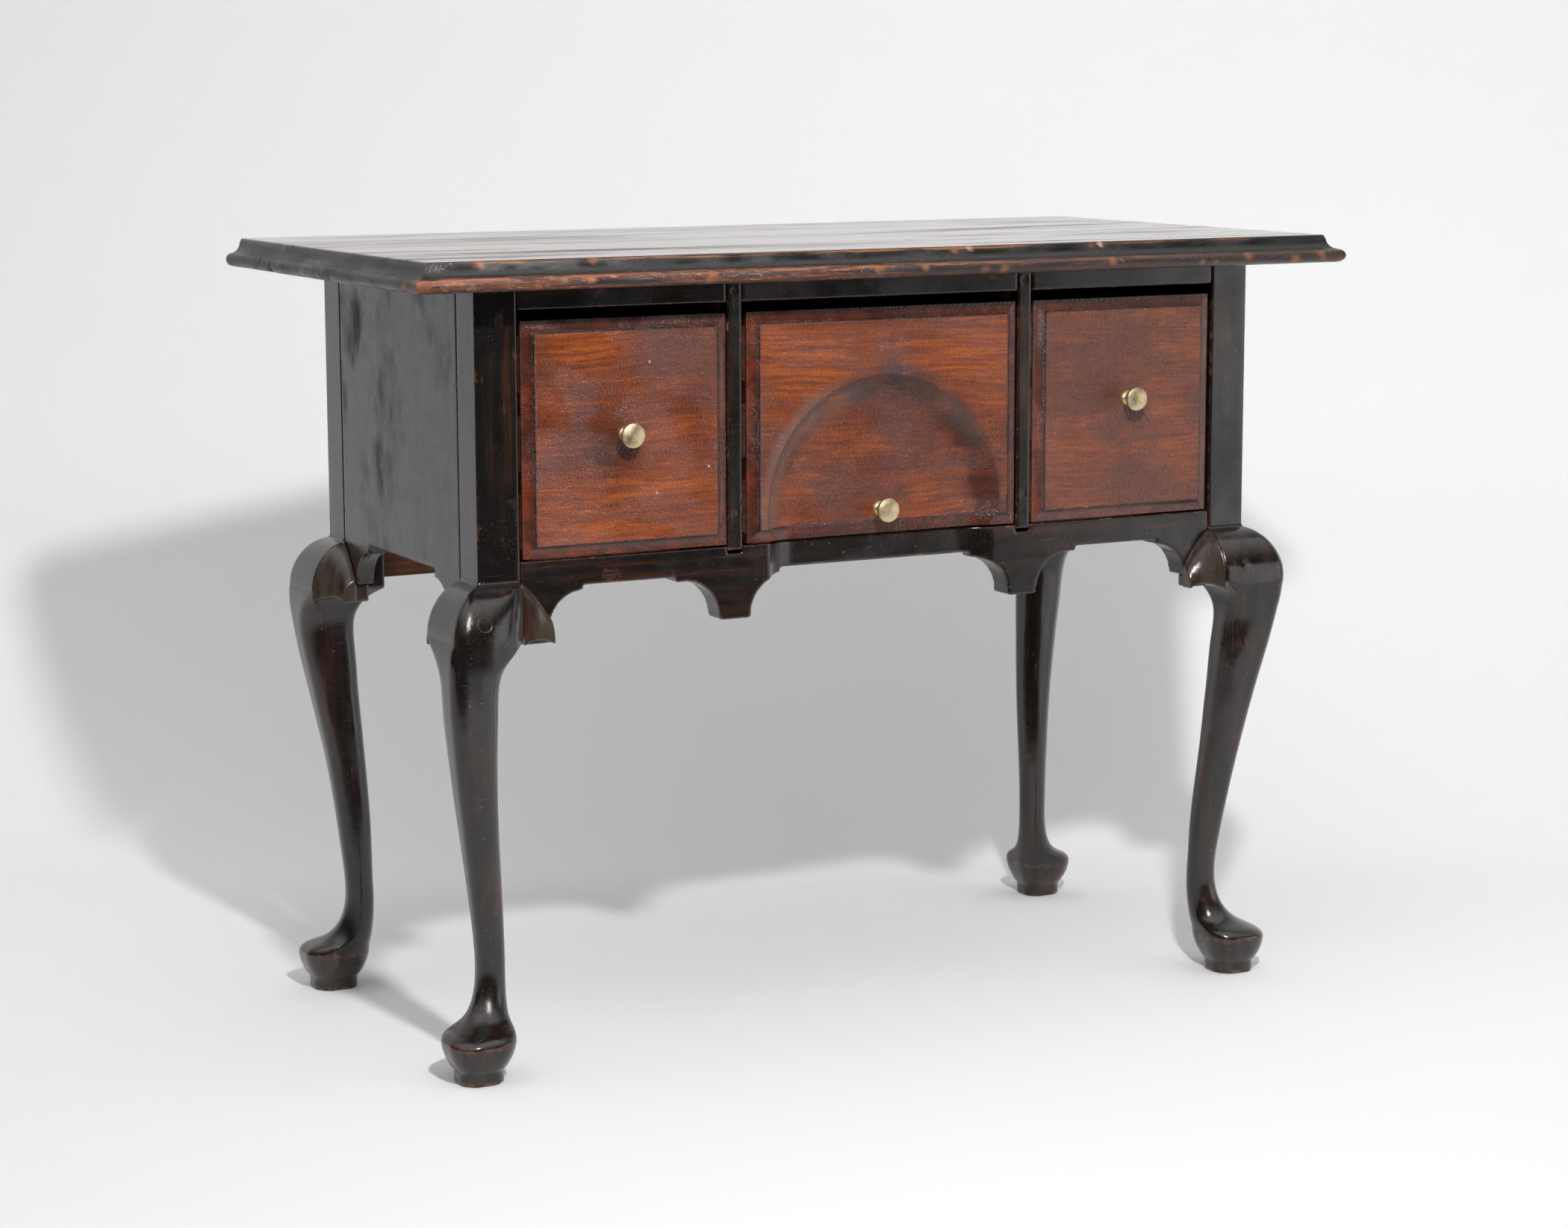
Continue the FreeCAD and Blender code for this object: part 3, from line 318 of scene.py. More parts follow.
def floor_material():
    """The floor beyond the paper: the camera sees it, but it throws no light up at the piece."""
    g = Surface("stage_floor")
    depth = stage_depth(g)
    beyond = g.window(depth, SWEEP_START, FLOOR_FAR)
    g.set(color=g.mix(beyond, floor_tone(g, depth), WALL_COLOR), rough=1.0, specular=0.0,
          glow=WHITE, glow_strength=g.times(beyond, FLOOR_LIFT_BEYOND))
    g.see_through(g.without(g.camera_ray()))
    return g.material


def shade_smooth(mesh):
    mesh.polygons.foreach_set("use_smooth", [True] * len(mesh.polygons))


def stage_mesh(name, verts, faces, material):
    mesh = bpy.data.meshes.new(name)
    mesh.from_pydata(verts, [], faces)
    shade_smooth(mesh)
    mesh.materials.append(material)
    piece = add_object(name, mesh)


def make_stage():
    """A floor that sweeps up into a wall behind the piece, square to the camera."""
    profile = [(STAGE_FRONT, 0.0)]
    for step in range(SWEEP_STEPS + 1):
        turn = math.pi / 2 * step / SWEEP_STEPS
        profile.append((SWEEP_START + SWEEP_RADIUS * math.sin(turn), SWEEP_RADIUS * (1 - math.cos(turn))))
    profile.append((SWEEP_START + SWEEP_RADIUS, STAGE_TOP))
    verts = []
    for distance, height in profile:
        for side in (-STAGE_HALF_WIDTH, STAGE_HALF_WIDTH):
            verts.append(AHEAD * distance + RIGHT * side + Vector((0, 0, height)))
    faces = [(2 * i, 2 * i + 1, 2 * i + 3, 2 * i + 2) for i in range(len(profile) - 1)]
    stage_mesh("stage_sweep", verts, faces, paper_material())
    signs = ((-1, -1), (1, -1), (1, 1), (-1, 1))
    corners = [Vector((x * FLOOR_HALF, y * FLOOR_HALF, -FLOOR_DROP)) for x, y in signs]
    stage_mesh("stage_floor", corners, [(0, 1, 2, 3)], floor_material())


def lamp(name, place, target, size, power, shape):
    data = bpy.data.lights.new(name, "AREA")
    data.shape = shape
    data.size = size
    data.energy = power
    made = add_object(name, data)
    made.location = place
    made.rotation_euler = (Vector(target) - Vector(place)).to_track_quat("-Z", "Y").to_euler()
    made.visible_camera = False


def make_light():
    """A small key lamp, a large card at the right, and a room bright above and white to the camera."""
    lamp("key", *KEY)
    lamp("card_right", *CARD_RIGHT)
    world = bpy.data.worlds.new("studio")
    scene.world = world
    world.use_nodes = True
    g = Graph(world.node_tree, "Generated")
    room = g.nodes["Background"]
    g.feed(room.inputs["Color"], g.mix(g.window(g.z, ROOM_RISE, 1.0), ROOM_BELOW, ROOM_ABOVE))
    g.feed(room.inputs["Strength"], 1.0)
    seen = g.node("Background", {"Color": ROOM_SEEN})
    g.show("World Output", g.camera_ray(), room.outputs[0], seen.outputs[0])


make_stage()
make_light()


# ------ paint
BLACK = (0.0055, 0.0047, 0.0043)
WARM_BLACK = (0.02, 0.0105, 0.0075)
OLIVE = (0.05, 0.041, 0.03)
RED_BROWN = (0.08, 0.021, 0.01)
ORANGE_WOOD = (0.33, 0.115, 0.034)
PALE_WOOD = (0.52, 0.33, 0.19)
SPECK = (0.13, 0.05, 0.028)
DUST = (0.26, 0.22, 0.19)
PAINTED_GLINT = (0.17, 0.115, 0.1)
SCRATCH = (0.16, 0.13, 0.12)
CRACK_BLACK = (0.002, 0.002, 0.002)
RING_GREY = (0.06, 0.05, 0.045)
FOOT_RIDGE = (0.13, 0.052, 0.03)
FOOT_UNDER = (0.042, 0.021, 0.014)
FOOT_SOLE = (0.17, 0.07, 0.032)


def grit(g, patches, size=1.25):
    """Heights in millimetres of bubbled, crazed varnish: domes of about that size that catch the light."""
    per_metre = 1000 / size
    domes = g.cells(per_metre, "F1")
    fine = g.noise(per_metre * 2.1, detail=2, rough=0.7)
    coarse = g.noise(per_metre * 0.52, detail=3, rough=0.6)
    height = g.add(g.times(domes, -0.53), g.times(fine, 0.35), g.times(coarse, 0.18))
    return g.times(height, size, patches)


def scratches(g, tilt, seed, low=0.7):
    """Thin lines in one slanting direction, as a share."""
    lines = g.noise_at(g.scaled((9, 700, 700), (seed, 2, 3), (0, tilt, 0)), 2.0, 0.5)
    where = g.spots(18, 0.5, 0.66, detail=3, at=(seed, 1, 1))
    return g.times(g.window(lines, low, low + 0.05), where)


def worn_edges(g, fleck, patch, wear):
    """Edges rubbed to red-brown and in places to the wood, which chips show as well."""
    edge = g.window(g.convexity(), 0.512, 0.55)
    g.cover(RED_BROWN, edge, g.add(g.times(fleck, 0.8), 0.2), wear)
    g.cover(ORANGE_WOOD, edge, fleck, g.window(patch, 0.5, 0.62), wear)
    g.cover(ORANGE_WOOD, g.attribute("bare"))


def speckled(g, speckle):
    """Pale dots, and fine painted glints in zones."""
    dots = g.spots(420, 0.84, 0.85, detail=0, at=(9, 9, 9))
    g.cover(DUST, dots, speckle)
    # Painted glints: bright specks that stand in for light caught by the crazed paint.
    glints = g.spots((1100, 1100, 900), 0.66, 0.72, detail=1, at=(4, 4, 4))
    zones = g.spots((20, 20, 14), 0.48, 0.62, rough=0.6, at=(6, 2, 7))
    g.cover(PAINTED_GLINT, glints, zones, 0.5)


def foot_wear(g, wide_streak, fleck):
    """Feet rubbed red-brown along their edge, streaked below it, and bare at the foot of the pad."""
    ridge = g.band(g.z, FOOT_EDGE_Z - 0.5 * MM, 1.2 * MM, 1.8 * MM)
    g.cover(FOOT_RIDGE, ridge, g.add(0.25, fleck), 0.55)
    under = g.window(g.z, FOOT_EDGE_Z, FOOT_EDGE_Z - 4 * MM)
    g.cover(FOOT_UNDER, under, g.window(wide_streak, 0.44, 0.6), 0.6)
    sole = g.window(g.z, 5 * MM, 1.5 * MM)
    g.cover(FOOT_SOLE, sole, g.window(fleck, 0.1, 0.7), 0.7)


def paint(name, grain, wear, brown, grain_depth=0.05, gloss=0.17, bubbles=0.26, tone=BLACK,
          dull=0.0, speckle=0.5, feet=False, rings=()):
    """Old black paint under varnish: brown where it is thin, red-brown and bare along its edges."""
    g = Surface(name)
    streak = g.noise(along(grain, 11, 330), detail=6, rough=0.68)
    wide_streak = g.noise(along(grain, 5, 75), rough=0.6, at=(2, 9, 4))
    patch = g.noise(38, rough=0.6, at=(3, 7, 1))
    fleck = g.spots(130, 0.46, 0.62, detail=5, rough=0.7, at=(5, 1, 2))
    specks = g.times(g.window(patch, 0.6, 0.66), g.window(streak, 0.5, 0.58))
    lines = scratches(g, 0.6, 4.0)
    g.color = g.mix(g.window(wide_streak, 0.42, 0.66), tone, WARM_BLACK)
    g.cover(RED_BROWN, g.window(wide_streak, 0.5, 0.6), g.window(streak, 0.5, 0.6), brown)
    g.cover(SPECK, specks, brown)
    worn_edges(g, fleck, patch, wear)
    speckled(g, speckle)
    if feet:
        foot_wear(g, wide_streak, fleck)
    g.cover(SCRATCH, lines, 0.3)

    rough = g.spots(55, 0.3, 0.7, gloss, gloss + 0.11, at=(2, 2, 8))
    coat = 0.35
    if dull:
        stain = g.spots(along(grain, 7, 13), 0.5, 0.76, detail=6, rough=0.62, at=(8, 3, 1))
        crack = g.spots(along(grain, 3.5, 130), 0.705, 0.73, detail=3, rough=0.6, at=(1, 4, 7))
        g.cover(CRACK_BLACK, crack)
        rough = g.add(rough, g.times(stain, dull), g.times(crack, 0.5))
        coat = g.window(stain, 0.0, 1.0, coat, 0.05)
    zones = g.spots(11, 0.44, 0.64, 0.08, 1.0, detail=5, rough=0.6)
    height = g.add(g.times(streak, grain_depth), grit(g, g.times(zones, bubbles)),
                   g.times(g.add(lines, specks), -0.05))
    for place, radius in rings:
        ring = g.band(g.distance(place), radius, 0.25 * MM, 0.5 * MM)
        g.cover(RING_GREY, ring, 0.5)
        height = g.add(height, g.times(ring, -0.4))
    return g.varnished(height, 0.75, rough, coat, 0.13)


# ------ the top's paint
TOP_DARK, TOP_BROWN = (0.04, 0.017, 0.012), (0.105, 0.044, 0.029)
TOP_SMOKE = (0.026, 0.014, 0.012)
TOP_RED = (0.13, 0.05, 0.03)
TOP_FLECK = (0.012, 0.007, 0.006)
TOP_SCRATCH = (0.22, 0.13, 0.09)
TOP_LINE = (0.05, 0.018, 0.012)
TOP_CHIP = (0.26, 0.085, 0.03)
SEAM_DIRT_AND_SHADE = (0.004, 0.003, 0.003)
COVE_SCUFF = (0.11, 0.098, 0.092)
BEAD_GROUND = (0.022, 0.009, 0.007)
BEAD_DARK, BEAD_WOOD = (0.042, 0.01, 0.006), (0.23, 0.058, 0.014)
BEAD_GRIME = (0.018, 0.007, 0.005)
BEAD_PAINTED_GLINT = (0.58, 0.26, 0.11)
BEAD_HIGHLIGHT = (0.3, 0.09, 0.03)
ARRIS_WOOD = (0.3, 0.105, 0.032)


def top_surface(g):
    """The level top, dark, streaked and rubbed: its colour, roughness and height."""
    streak = g.noise(along("x", 5, 230), detail=7, rough=0.65)
    broad = g.noise(along("x", 2.2, 34), detail=5, rough=0.6, at=(4, 2, 0))
    line = g.spots(along("x", 2.4, 90), 0.6, 0.66, detail=3, rough=0.6, at=(9, 4, 1))
    fleck = g.spots(along("x", 60, 420), 0.6, 0.7, detail=5, rough=0.7, at=(1, 5, 3))
    wide = g.spots((7, 16, 16), 0.36, 0.66, 0.0, 0.65, detail=5, rough=0.62, at=(2, 2, 2))
    g.color = g.mix(g.window(streak, 0.34, 0.66), TOP_DARK, TOP_BROWN)
    g.cover(TOP_SMOKE, wide)
    g.cover(TOP_RED, g.window(broad, 0.5, 0.7), 0.5)
    g.cover(TOP_FLECK, fleck, 0.6)
    g.cover(TOP_SCRATCH, scratches(g, 0.35, 7.0, 0.66), 0.4)
    g.cover(TOP_LINE, line)
    stained = g.spots(along("x", 2.5, 26), 0.52, 0.66, detail=6, rough=0.65, at=(3, 3, 3))
    duller = g.window(g.x, -HALF_WIDTH, HALF_WIDTH, 0.16, 0.34)
    rough = g.add(g.window(broad, 0.42, 0.66, 0.04, 0.16), g.times(line, 0.55), g.times(stained, duller))
    height = g.add(g.times(streak, 0.004), g.times(line, -0.05))
    return g.color, rough, height


def bead_wood(g):
    """The bead's bare wood, grimy and with painted glints, and the share of the bead that is worn to it."""
    fine = g.noise(along("x", 12, 520), detail=6, rough=0.68, at=(2, 8, 5))
    smear = g.noise(along("x", 6, 90), detail=5, rough=0.6, at=(3, 1, 9))
    worn = g.window(g.add(fine, g.times(g.add(smear, -0.5), 1.3)), 0.44, 0.6)
    wood = g.mix(g.window(fine, 0.44, 0.6), BEAD_DARK, BEAD_WOOD)
    grime = g.spots(along("x", 45, 800), 0.48, 0.58, rough=0.65, at=(6, 6, 1))
    wood = g.tint(wood, BEAD_GRIME, grime, 0.65)
    # Painted glints: bright orange specks on the bead's wood.
    glint = g.spots((120, 500, 900), 0.62, 0.67, detail=2, at=(1, 7, 7))
    return g.tint(wood, BEAD_PAINTED_GLINT, glint, 0.75), worn


def top_moulding(g):
    """The moulded edge, black, with a worn arris and bead at the front: its colour, roughness and height."""
    patch = g.noise((22, 22, 60), detail=5, rough=0.6, at=(7, 1, 2))
    fleck = g.noise((150, 150, 420), detail=5, rough=0.7, at=(1, 5, 3))
    front = g.window(g.y, FRONT_EDGE_Y + 15 * MM, FRONT_EDGE_Y + 11 * MM)
    leftward = g.window(g.x, HALF_WIDTH * 0.8, -HALF_WIDTH * 0.3, 0.12, 1.0)
    bead = g.times(g.window(g.z, UNDER_Z + 13 * MM, UNDER_Z + 11.8 * MM), front)
    g.color = g.mix(g.window(patch, 0.52, 0.72), BLACK, WARM_BLACK)
    g.cover(COVE_SCUFF, g.window(fleck, 0.56, 0.64), g.window(patch, 0.48, 0.6), 0.35)
    g.cover(BEAD_GROUND, bead, 0.9)
    wood, worn = bead_wood(g)
    g.cover(wood, bead, worn, leftward)
    # Painted highlight: an orange band along the top of the bead at the front, in patches, strongest at the
    # left.
    upper_bead = g.band(g.z, UNDER_Z + 11.3 * MM, 0.9 * MM, 0.8 * MM)
    highlight_spots = g.spots(along("x", 40, 300), 0.46, 0.58, at=(1, 1, 4))
    g.cover(BEAD_HIGHLIGHT, upper_bead, front, highlight_spots, leftward)
    arris = g.band(g.z, TOP_Z - 1.9 * MM, 0.8 * MM, 0.8 * MM)
    arris_front = g.window(g.y, FRONT_EDGE_Y + 18 * MM, FRONT_EDGE_Y + 17 * MM)
    arris_worn = g.spots(along("x", 10, 260), 0.45, 0.54, detail=6, rough=0.7, at=(6, 3, 9))
    g.cover(ARRIS_WOOD, arris, arris_front, arris_worn, 0.9)

    crazed = g.times(g.window(g.cells((55, 45, 30)), 0.03, 0.0), g.window(patch, 0.5, 0.6),
                     g.window(g.z, UNDER_Z + 14 * MM, UNDER_Z + 10 * MM))
    rough = g.add(g.window(patch, 0.3, 0.7, 0.26, 0.42), g.times(crazed, 0.4), g.times(bead, -0.12))
    bubbles = g.add(g.window(patch, 0.34, 0.6, 0.15, 0.8), g.times(bead, 0.4))
    height = g.add(g.times(fleck, 0.1), grit(g, bubbles), g.times(crazed, -0.25))
    return g.color, rough, height


def top_paint():
    """The top: dark, rubbed and glossy above, black in the cove, worn to the wood on the front's bead."""
    g = Surface("top_paint")
    level = g.window(g.z, TOP_Z - 1.5 * MM, TOP_Z - 0.9 * MM)
    moulded = g.without(level)
    color_above, rough_above, height_above = top_surface(g)
    color_side, rough_side, height_side = top_moulding(g)
    g.color = g.mix(level, color_side, color_above)
    g.cover(TOP_CHIP, g.attribute("bare"), 0.8)
    g.cover(PALE_WOOD, g.attribute("pale"))
    # Near-black where marked: grime in the seams and the crack, and painted shade in the deep break under the
    # left end.
    g.cover(SEAM_DIRT_AND_SHADE, g.attribute("dirt_and_shade"))
    rough = g.add(g.times(rough_above, level), g.times(rough_side, moulded))
    height = g.add(g.times(height_above, level), g.times(height_side, moulded))
    end = g.window(g.math("ABSOLUTE", g.x), HALF_WIDTH - 17 * MM, HALF_WIDTH - 14 * MM)
    coat = g.add(0.18, g.times(moulded, g.window(end, 0.0, 1.0, 0.25, -0.1)))
    return g.varnished(height, 0.6, rough, coat, 0.12)


# ------ the drawers' varnish
WOOD_DEEP, WOOD_WARM = (0.19, 0.036, 0.007), (0.4, 0.088, 0.009)
FIGURE = (0.115, 0.022, 0.007)
SMOKE = (0.098, 0.026, 0.015)
PORE = (0.036, 0.009, 0.006)
PEBBLE = (0.034, 0.01, 0.008)
DARK_SPOT = (0.04, 0.016, 0.013)
STAIN = (0.04, 0.016, 0.012)
RIM_DARK, RIM_RED = (0.03, 0.012, 0.01), (0.085, 0.022, 0.013)
RIM_BRIGHT = (0.165, 0.03, 0.014)
RIM_LINE = (0.008, 0.005, 0.005)
RIM_SIDE_SHADE = (0.05, 0.017, 0.011)
CREAM_DOT = (0.65, 0.52, 0.4)
REFLECTION_HAZE = (0.24, 0.15, 0.13)
VARNISH_PAINTED_GLINT = (0.38, 0.25, 0.22)
COVE_SHADE = (0.042, 0.018, 0.016)
COVE_SHEEN = (0.18, 0.1, 0.08)


def fibre_noise(g, scale, bend, bend_size, detail, shift=0.0):
    """Noise stretched along x whose lines wander up and down with bend."""
    wandering = g.add(g.times(g.z, scale[2]), g.times(bend, bend_size))
    place = g.node("CombineXYZ", {0: g.add(g.times(g.x, scale[0]), shift),
                                            1: g.times(g.y, scale[1]), 2: wandering}).outputs[0]
    return g.noise_at(place, detail, 0.62)


def near(g, place, radius, inside, outside):
    """A soft patch round a place: one value inside it, another beyond it."""
    return g.window(g.distance(place), radius * 0.3, radius * 1.15, inside, outside)


def arch_shade(g, low):
    """Painted shade in the cove of the middle drawer's sunk arch, most of all over the top; a painted sheen at
    its left.
    """
    centre_z = low.z + (ARCH_HEIGHT - ARCH_HALF_WIDTH)
    up = g.math("MAXIMUM", g.math("SUBTRACT", g.z, centre_z), 0.0)
    radius = g.math("SQRT", g.add(g.times(up, up), g.times(g.x, g.x)))
    cove = g.band(radius, ARCH_HALF_WIDTH - 10 * MM, 5 * MM, 13 * MM)
    over = g.window(g.z, centre_z + 20 * MM, centre_z + 110 * MM, 0.0, 0.8)
    rightward = g.window(g.x, 20 * MM, 80 * MM, 0.0, 0.75)
    blotch = g.spots((26, 26, 34), 0.4, 0.6, 0.25, 1.0, at=(1, 1, 8))
    # Painted shade: darker in the cove, over the top and at the right, in blotches.
    g.cover(COVE_SHADE, cove, g.math("MAXIMUM", over, rightward), blotch)
    # Painted sheen: a pale band round the arch at its left.
    outer = g.band(radius, ARCH_HALF_WIDTH - 3 * MM, 6 * MM, 10 * MM)
    g.cover(COVE_SHEEN, outer, g.window(g.x, -30 * MM, -80 * MM), 0.55)


def face_inset(g, low, high):
    """How far a point of a drawer's face lies inside its outline."""
    return g.chain("MINIMUM", [g.math("SUBTRACT", g.x, low.x), g.math("SUBTRACT", high.x, g.x),
                               g.math("SUBTRACT", g.z, low.z), g.math("SUBTRACT", high.z, g.z)])


def moulded_rim(g, low, high, inset, border, pebble, seed):
    """The drawer's moulded rim: smoky, rubbed red at its left and foot, with a dark line inside it."""
    rub = g.spots(45, 0.4, 0.62, detail=5, rough=0.65, at=(seed, 8, 1))
    bright = g.math("MAXIMUM", g.window(g.x, low.x + 9 * MM, low.x + 7 * MM),
                    g.window(g.z, low.z + 8 * MM, low.z + 5 * MM, 0.0, 0.8))
    below_top = g.window(g.z, high.z - 8 * MM, high.z - 11 * MM)
    rim = g.mix(rub, RIM_DARK, RIM_RED)
    rim = g.tint(rim, RIM_BRIGHT, bright, below_top, g.window(rub, 0.0, 1.0, 0.15, 0.9))
    rim = g.tint(rim, PEBBLE, pebble, 0.5)
    g.cover(rim, border, 0.85)
    line = g.band(inset, RIM_WIDTH, 0.4 * MM, 0.7 * MM)
    g.cover(RIM_LINE, line, g.window(rub, 0.0, 1.0, 0.85, 0.45))
    # Painted shade: the front's edges behind its lip, where they sit in the case's opening, are darkened.
    back = g.window(g.y, low.y + 6.2 * MM, low.y + 9 * MM)
    g.cover(RIM_SIDE_SHADE, back, g.window(inset, 6 * MM, 3 * MM), 0.75)


def varnished_wood(g, seed):
    """Colour the wood by its grain and figure; returns its pores."""
    bend = g.noise((6, 6, 8), detail=2, at=(seed * 2, 0, 2))
    grain = fibre_noise(g, (13, 90, 300), bend, 6.0, 6.0, seed)
    pores = fibre_noise(g, (70, 300, 1100), bend, 22.0, 3.0)
    figure = fibre_noise(g, (7, 30, 42), bend, 2.0, 4.0, seed)
    g.color = g.mix(g.window(grain, 0.34, 0.68), WOOD_DEEP, WOOD_WARM)
    g.cover(FIGURE, g.window(figure, 0.46, 0.6), 0.5)
    return pores


def bubbles_of(g, seed, inset, border):
    """Painted glints in zones of crazed varnish; returns how bubbled it is, most of all in the rim's groove.
    """
    crazed = g.spots((17, 17, 22), 0.38, 0.6, 0.25, 1.0, rough=0.6, at=(8, 3, seed))
    # Painted glints: pale specks in the crazed zones.
    glints = g.spots(760, 0.68, 0.72, detail=1, at=(2, 2, 2))
    g.cover(VARNISH_PAINTED_GLINT, glints, crazed, 0.45)
    groove = g.times(g.band(inset, RIM_WIDTH, 1.2 * MM, 1 * MM), 0.8)
    return g.add(g.times(crazed, g.without(g.times(border, 0.45))), groove)


def drawer_varnish(name, box, arched=False, glow=(), dark=(), dots=(), smoky=0.8, reflection_haze=0.0):
    """Red-brown wood under crazed, smoky varnish; glow and dark list (x, z, radius), dots (x, z)."""
    low, high = box
    seed = low.x * 5
    g = Surface(name)
    pores = varnished_wood(g, seed)

    smoke = g.noise(along("x", 12, 20), detail=5, rough=0.62, at=(seed, 1, 4))
    veil = g.window(smoke, 0.36, 0.58, 0.35, 1.0)
    for x, z, radius in glow:
        veil = g.times(veil, near(g, (x, low.y, z), radius, 0.1, 1.0))
    g.cover(SMOKE, veil, smoky)
    g.cover(PORE, g.window(pores, 0.52, 0.62), 0.42)
    pebble = g.spots(520, 0.5, 0.6, rough=0.75, at=(5, 5, 5))
    g.cover(PEBBLE, pebble, g.window(veil, 0.0, 1.0, 0.3, 1.0), 0.55)
    torn = g.spots((46, 46, 60), 0.4, 0.58, 0.1, 1.0, detail=5, rough=0.65, at=(seed, 2, 5))
    for x, z, radius in dark:
        g.cover(DARK_SPOT, near(g, (x, low.y, z), radius, 0.75, 0.0), torn)
    stain = g.spots((34, 34, 46), 0.6, 0.74, detail=5, rough=0.65, at=(3, seed, 6))
    g.cover(STAIN, stain, 0.45)
    # The sunk arch gets painted shade and painted sheen in its cove.
    if arched:
        arch_shade(g, low)

    inset = face_inset(g, low, high)
    border = g.window(inset, RIM_WIDTH + 0.3 * MM, RIM_WIDTH - 0.3 * MM)
    moulded_rim(g, low, high, inset, border, pebble, seed)
    for x, z in dots:
        g.cover(CREAM_DOT, near(g, (x, low.y, z), 1.3 * MM, 0.8, 0.0))
    # Painted reflection: a pale haze laid evenly over the front.
    if reflection_haze:
        g.cover(REFLECTION_HAZE, reflection_haze)
    height = g.add(grit(g, bubbles_of(g, seed, inset, border), 2.0), g.times(pores, 0.04))
    return g.varnished(height, 0.8, g.window(smoke, 0.3, 0.7, 0.18, 0.26), 0.2, 0.12)


# ------ bare wood and metal
BARE_LIGHT, BARE_DARK, BARE_FIBRE = (0.3, 0.13, 0.06), (0.15, 0.056, 0.026), (0.1, 0.04, 0.02)
GRIME = (0.035, 0.022, 0.016)
BRASS_DULL, BRASS_CLEAN, BRASS_SPOT = (0.6, 0.46, 0.27), (0.78, 0.63, 0.41), (0.28, 0.2, 0.11)
IRON_BLACK, IRON_RUST = (0.035, 0.03, 0.028), (0.13, 0.05, 0.022)


def bare_wood(name, grain, tone=1.0):
    """Secondary wood, never finished: grain, saw marks, grime."""
    g = Surface(name)
    light, dark, pore = (tuple(tone * c for c in each) for each in (BARE_LIGHT, BARE_DARK, BARE_FIBRE))
    rings = g.noise(along(grain, 4, 120), detail=6, rough=0.6, twist=0.4)
    fibre = g.noise(along(grain, 30, 1100), detail=3, rough=0.6)
    grime = g.noise(16, detail=5, rough=0.6, at=(5, 5, 1))
    fine = g.spots(along(grain, 14, 420), 0.4, 0.6, 0.0, 0.45, rough=0.6, at=(1, 6, 2))
    saw = g.noise(along(grain, 260, 9), detail=2)
    g.color = g.mix(g.window(rings, 0.36, 0.62), dark, light)
    g.cover(dark, fine)
    g.cover(pore, g.window(fibre, 0.5, 0.62), 0.6)
    g.cover(GRIME, g.window(grime, 0.5, 0.75), 0.6)
    height = g.add(g.times(fibre, 0.6), g.times(rings, 0.5), g.times(saw, 0.25))
    g.set(color=g.color, rough=g.window(grime, 0.3, 0.7, 0.72, 0.9), normal=g.bump(height, 0.3 * MM, 0.7))
    return g.material


def brass():
    g = Surface("aged_brass")
    cloud = g.noise(160, detail=5, rough=0.6)
    spot = g.spots(520, 0.6, 0.72, detail=3, rough=0.7)
    g.color = g.mix(g.window(cloud, 0.35, 0.65), BRASS_DULL, BRASS_CLEAN)
    g.cover(BRASS_SPOT, spot, 0.55)
    height = g.add(g.noise(900, detail=2), g.times(spot, -0.5))
    g.set(color=g.color, metal=1.0, rough=g.window(cloud, 0.3, 0.7, 0.36, 0.5),
          normal=g.bump(height, 0.12 * MM, 0.25))
    return g.material


def iron():
    g = Surface("old_iron")
    rust = g.noise(420, rough=0.65)
    g.set(color=g.mix(g.window(rust, 0.4, 0.62), IRON_BLACK, IRON_RUST), metal=0.6,
          rough=g.window(rust, 0.3, 0.7, 0.42, 0.75), normal=g.bump(rust, 0.2 * MM, 0.6))
    return g.material


# ------ worn copies of the solids
WELD = 0.001 * MM
CHIP_GRAIN = 420
CHIP_BARE = 0.5 * MM
CHIP_ON_BLOCK = (Vector((-CASE_SIDE_X - 13 * MM, CASE_FRONT_Y + 44 * MM, 434 * MM)), 6 * MM, 1 * MM)
SEAM_PRESS = 0.9 * MM

# The solid's knee below its shoulder, and how the front left one is pared and the block beside it thinned
KNEE_TAPER = 3.2 * MM
KNEE_TAPER_HEIGHT = 36 * MM
KNEE_RING = Vector((-CASE_SIDE_X - 7 * MM, CASE_FRONT_Y - 30 * MM, 410 * MM))
PARE_RADIUS = 56 * MM
PARE_OVER = 8 * MM
PARE_BELOW = 60 * MM
PARE_FADE = 40 * MM
SMOOTH_BESIDE = 6 * MM
SMOOTH_UNDER_TOP = 4 * MM
SMOOTH_OFF_BLOCK = 1 * MM
SMOOTH_ROUNDS = 14
PEG_DEEPER = 2 * MM
THIN_AT_LEG = 0.2
THIN_GAIN = 0.08


def new_piece(name, mesh, material, body, slot, *nodes):
    """Put a finished mesh in the scene in place of the nodes it stands for."""
    mesh.materials.clear()
    mesh.materials.append(material)
    piece = add_object(name, mesh)
    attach(piece, body)
    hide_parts(*nodes)
    return piece


def add_layer(mesh, name, values):
    mesh.attributes.new(name, "FLOAT", "POINT").data.foreach_set("value", values)


def unit(value):
    return min(max(value, 0.0), 1.0)


def connected(start):
    """The vertex and all that hang together with it."""
    island, front = {start}, [start]
    while front:
        for edge in front.pop().link_edges:
            for vert in edge.verts:
                if vert not in island:
                    island.add(vert)
                    front.append(vert)
    return island


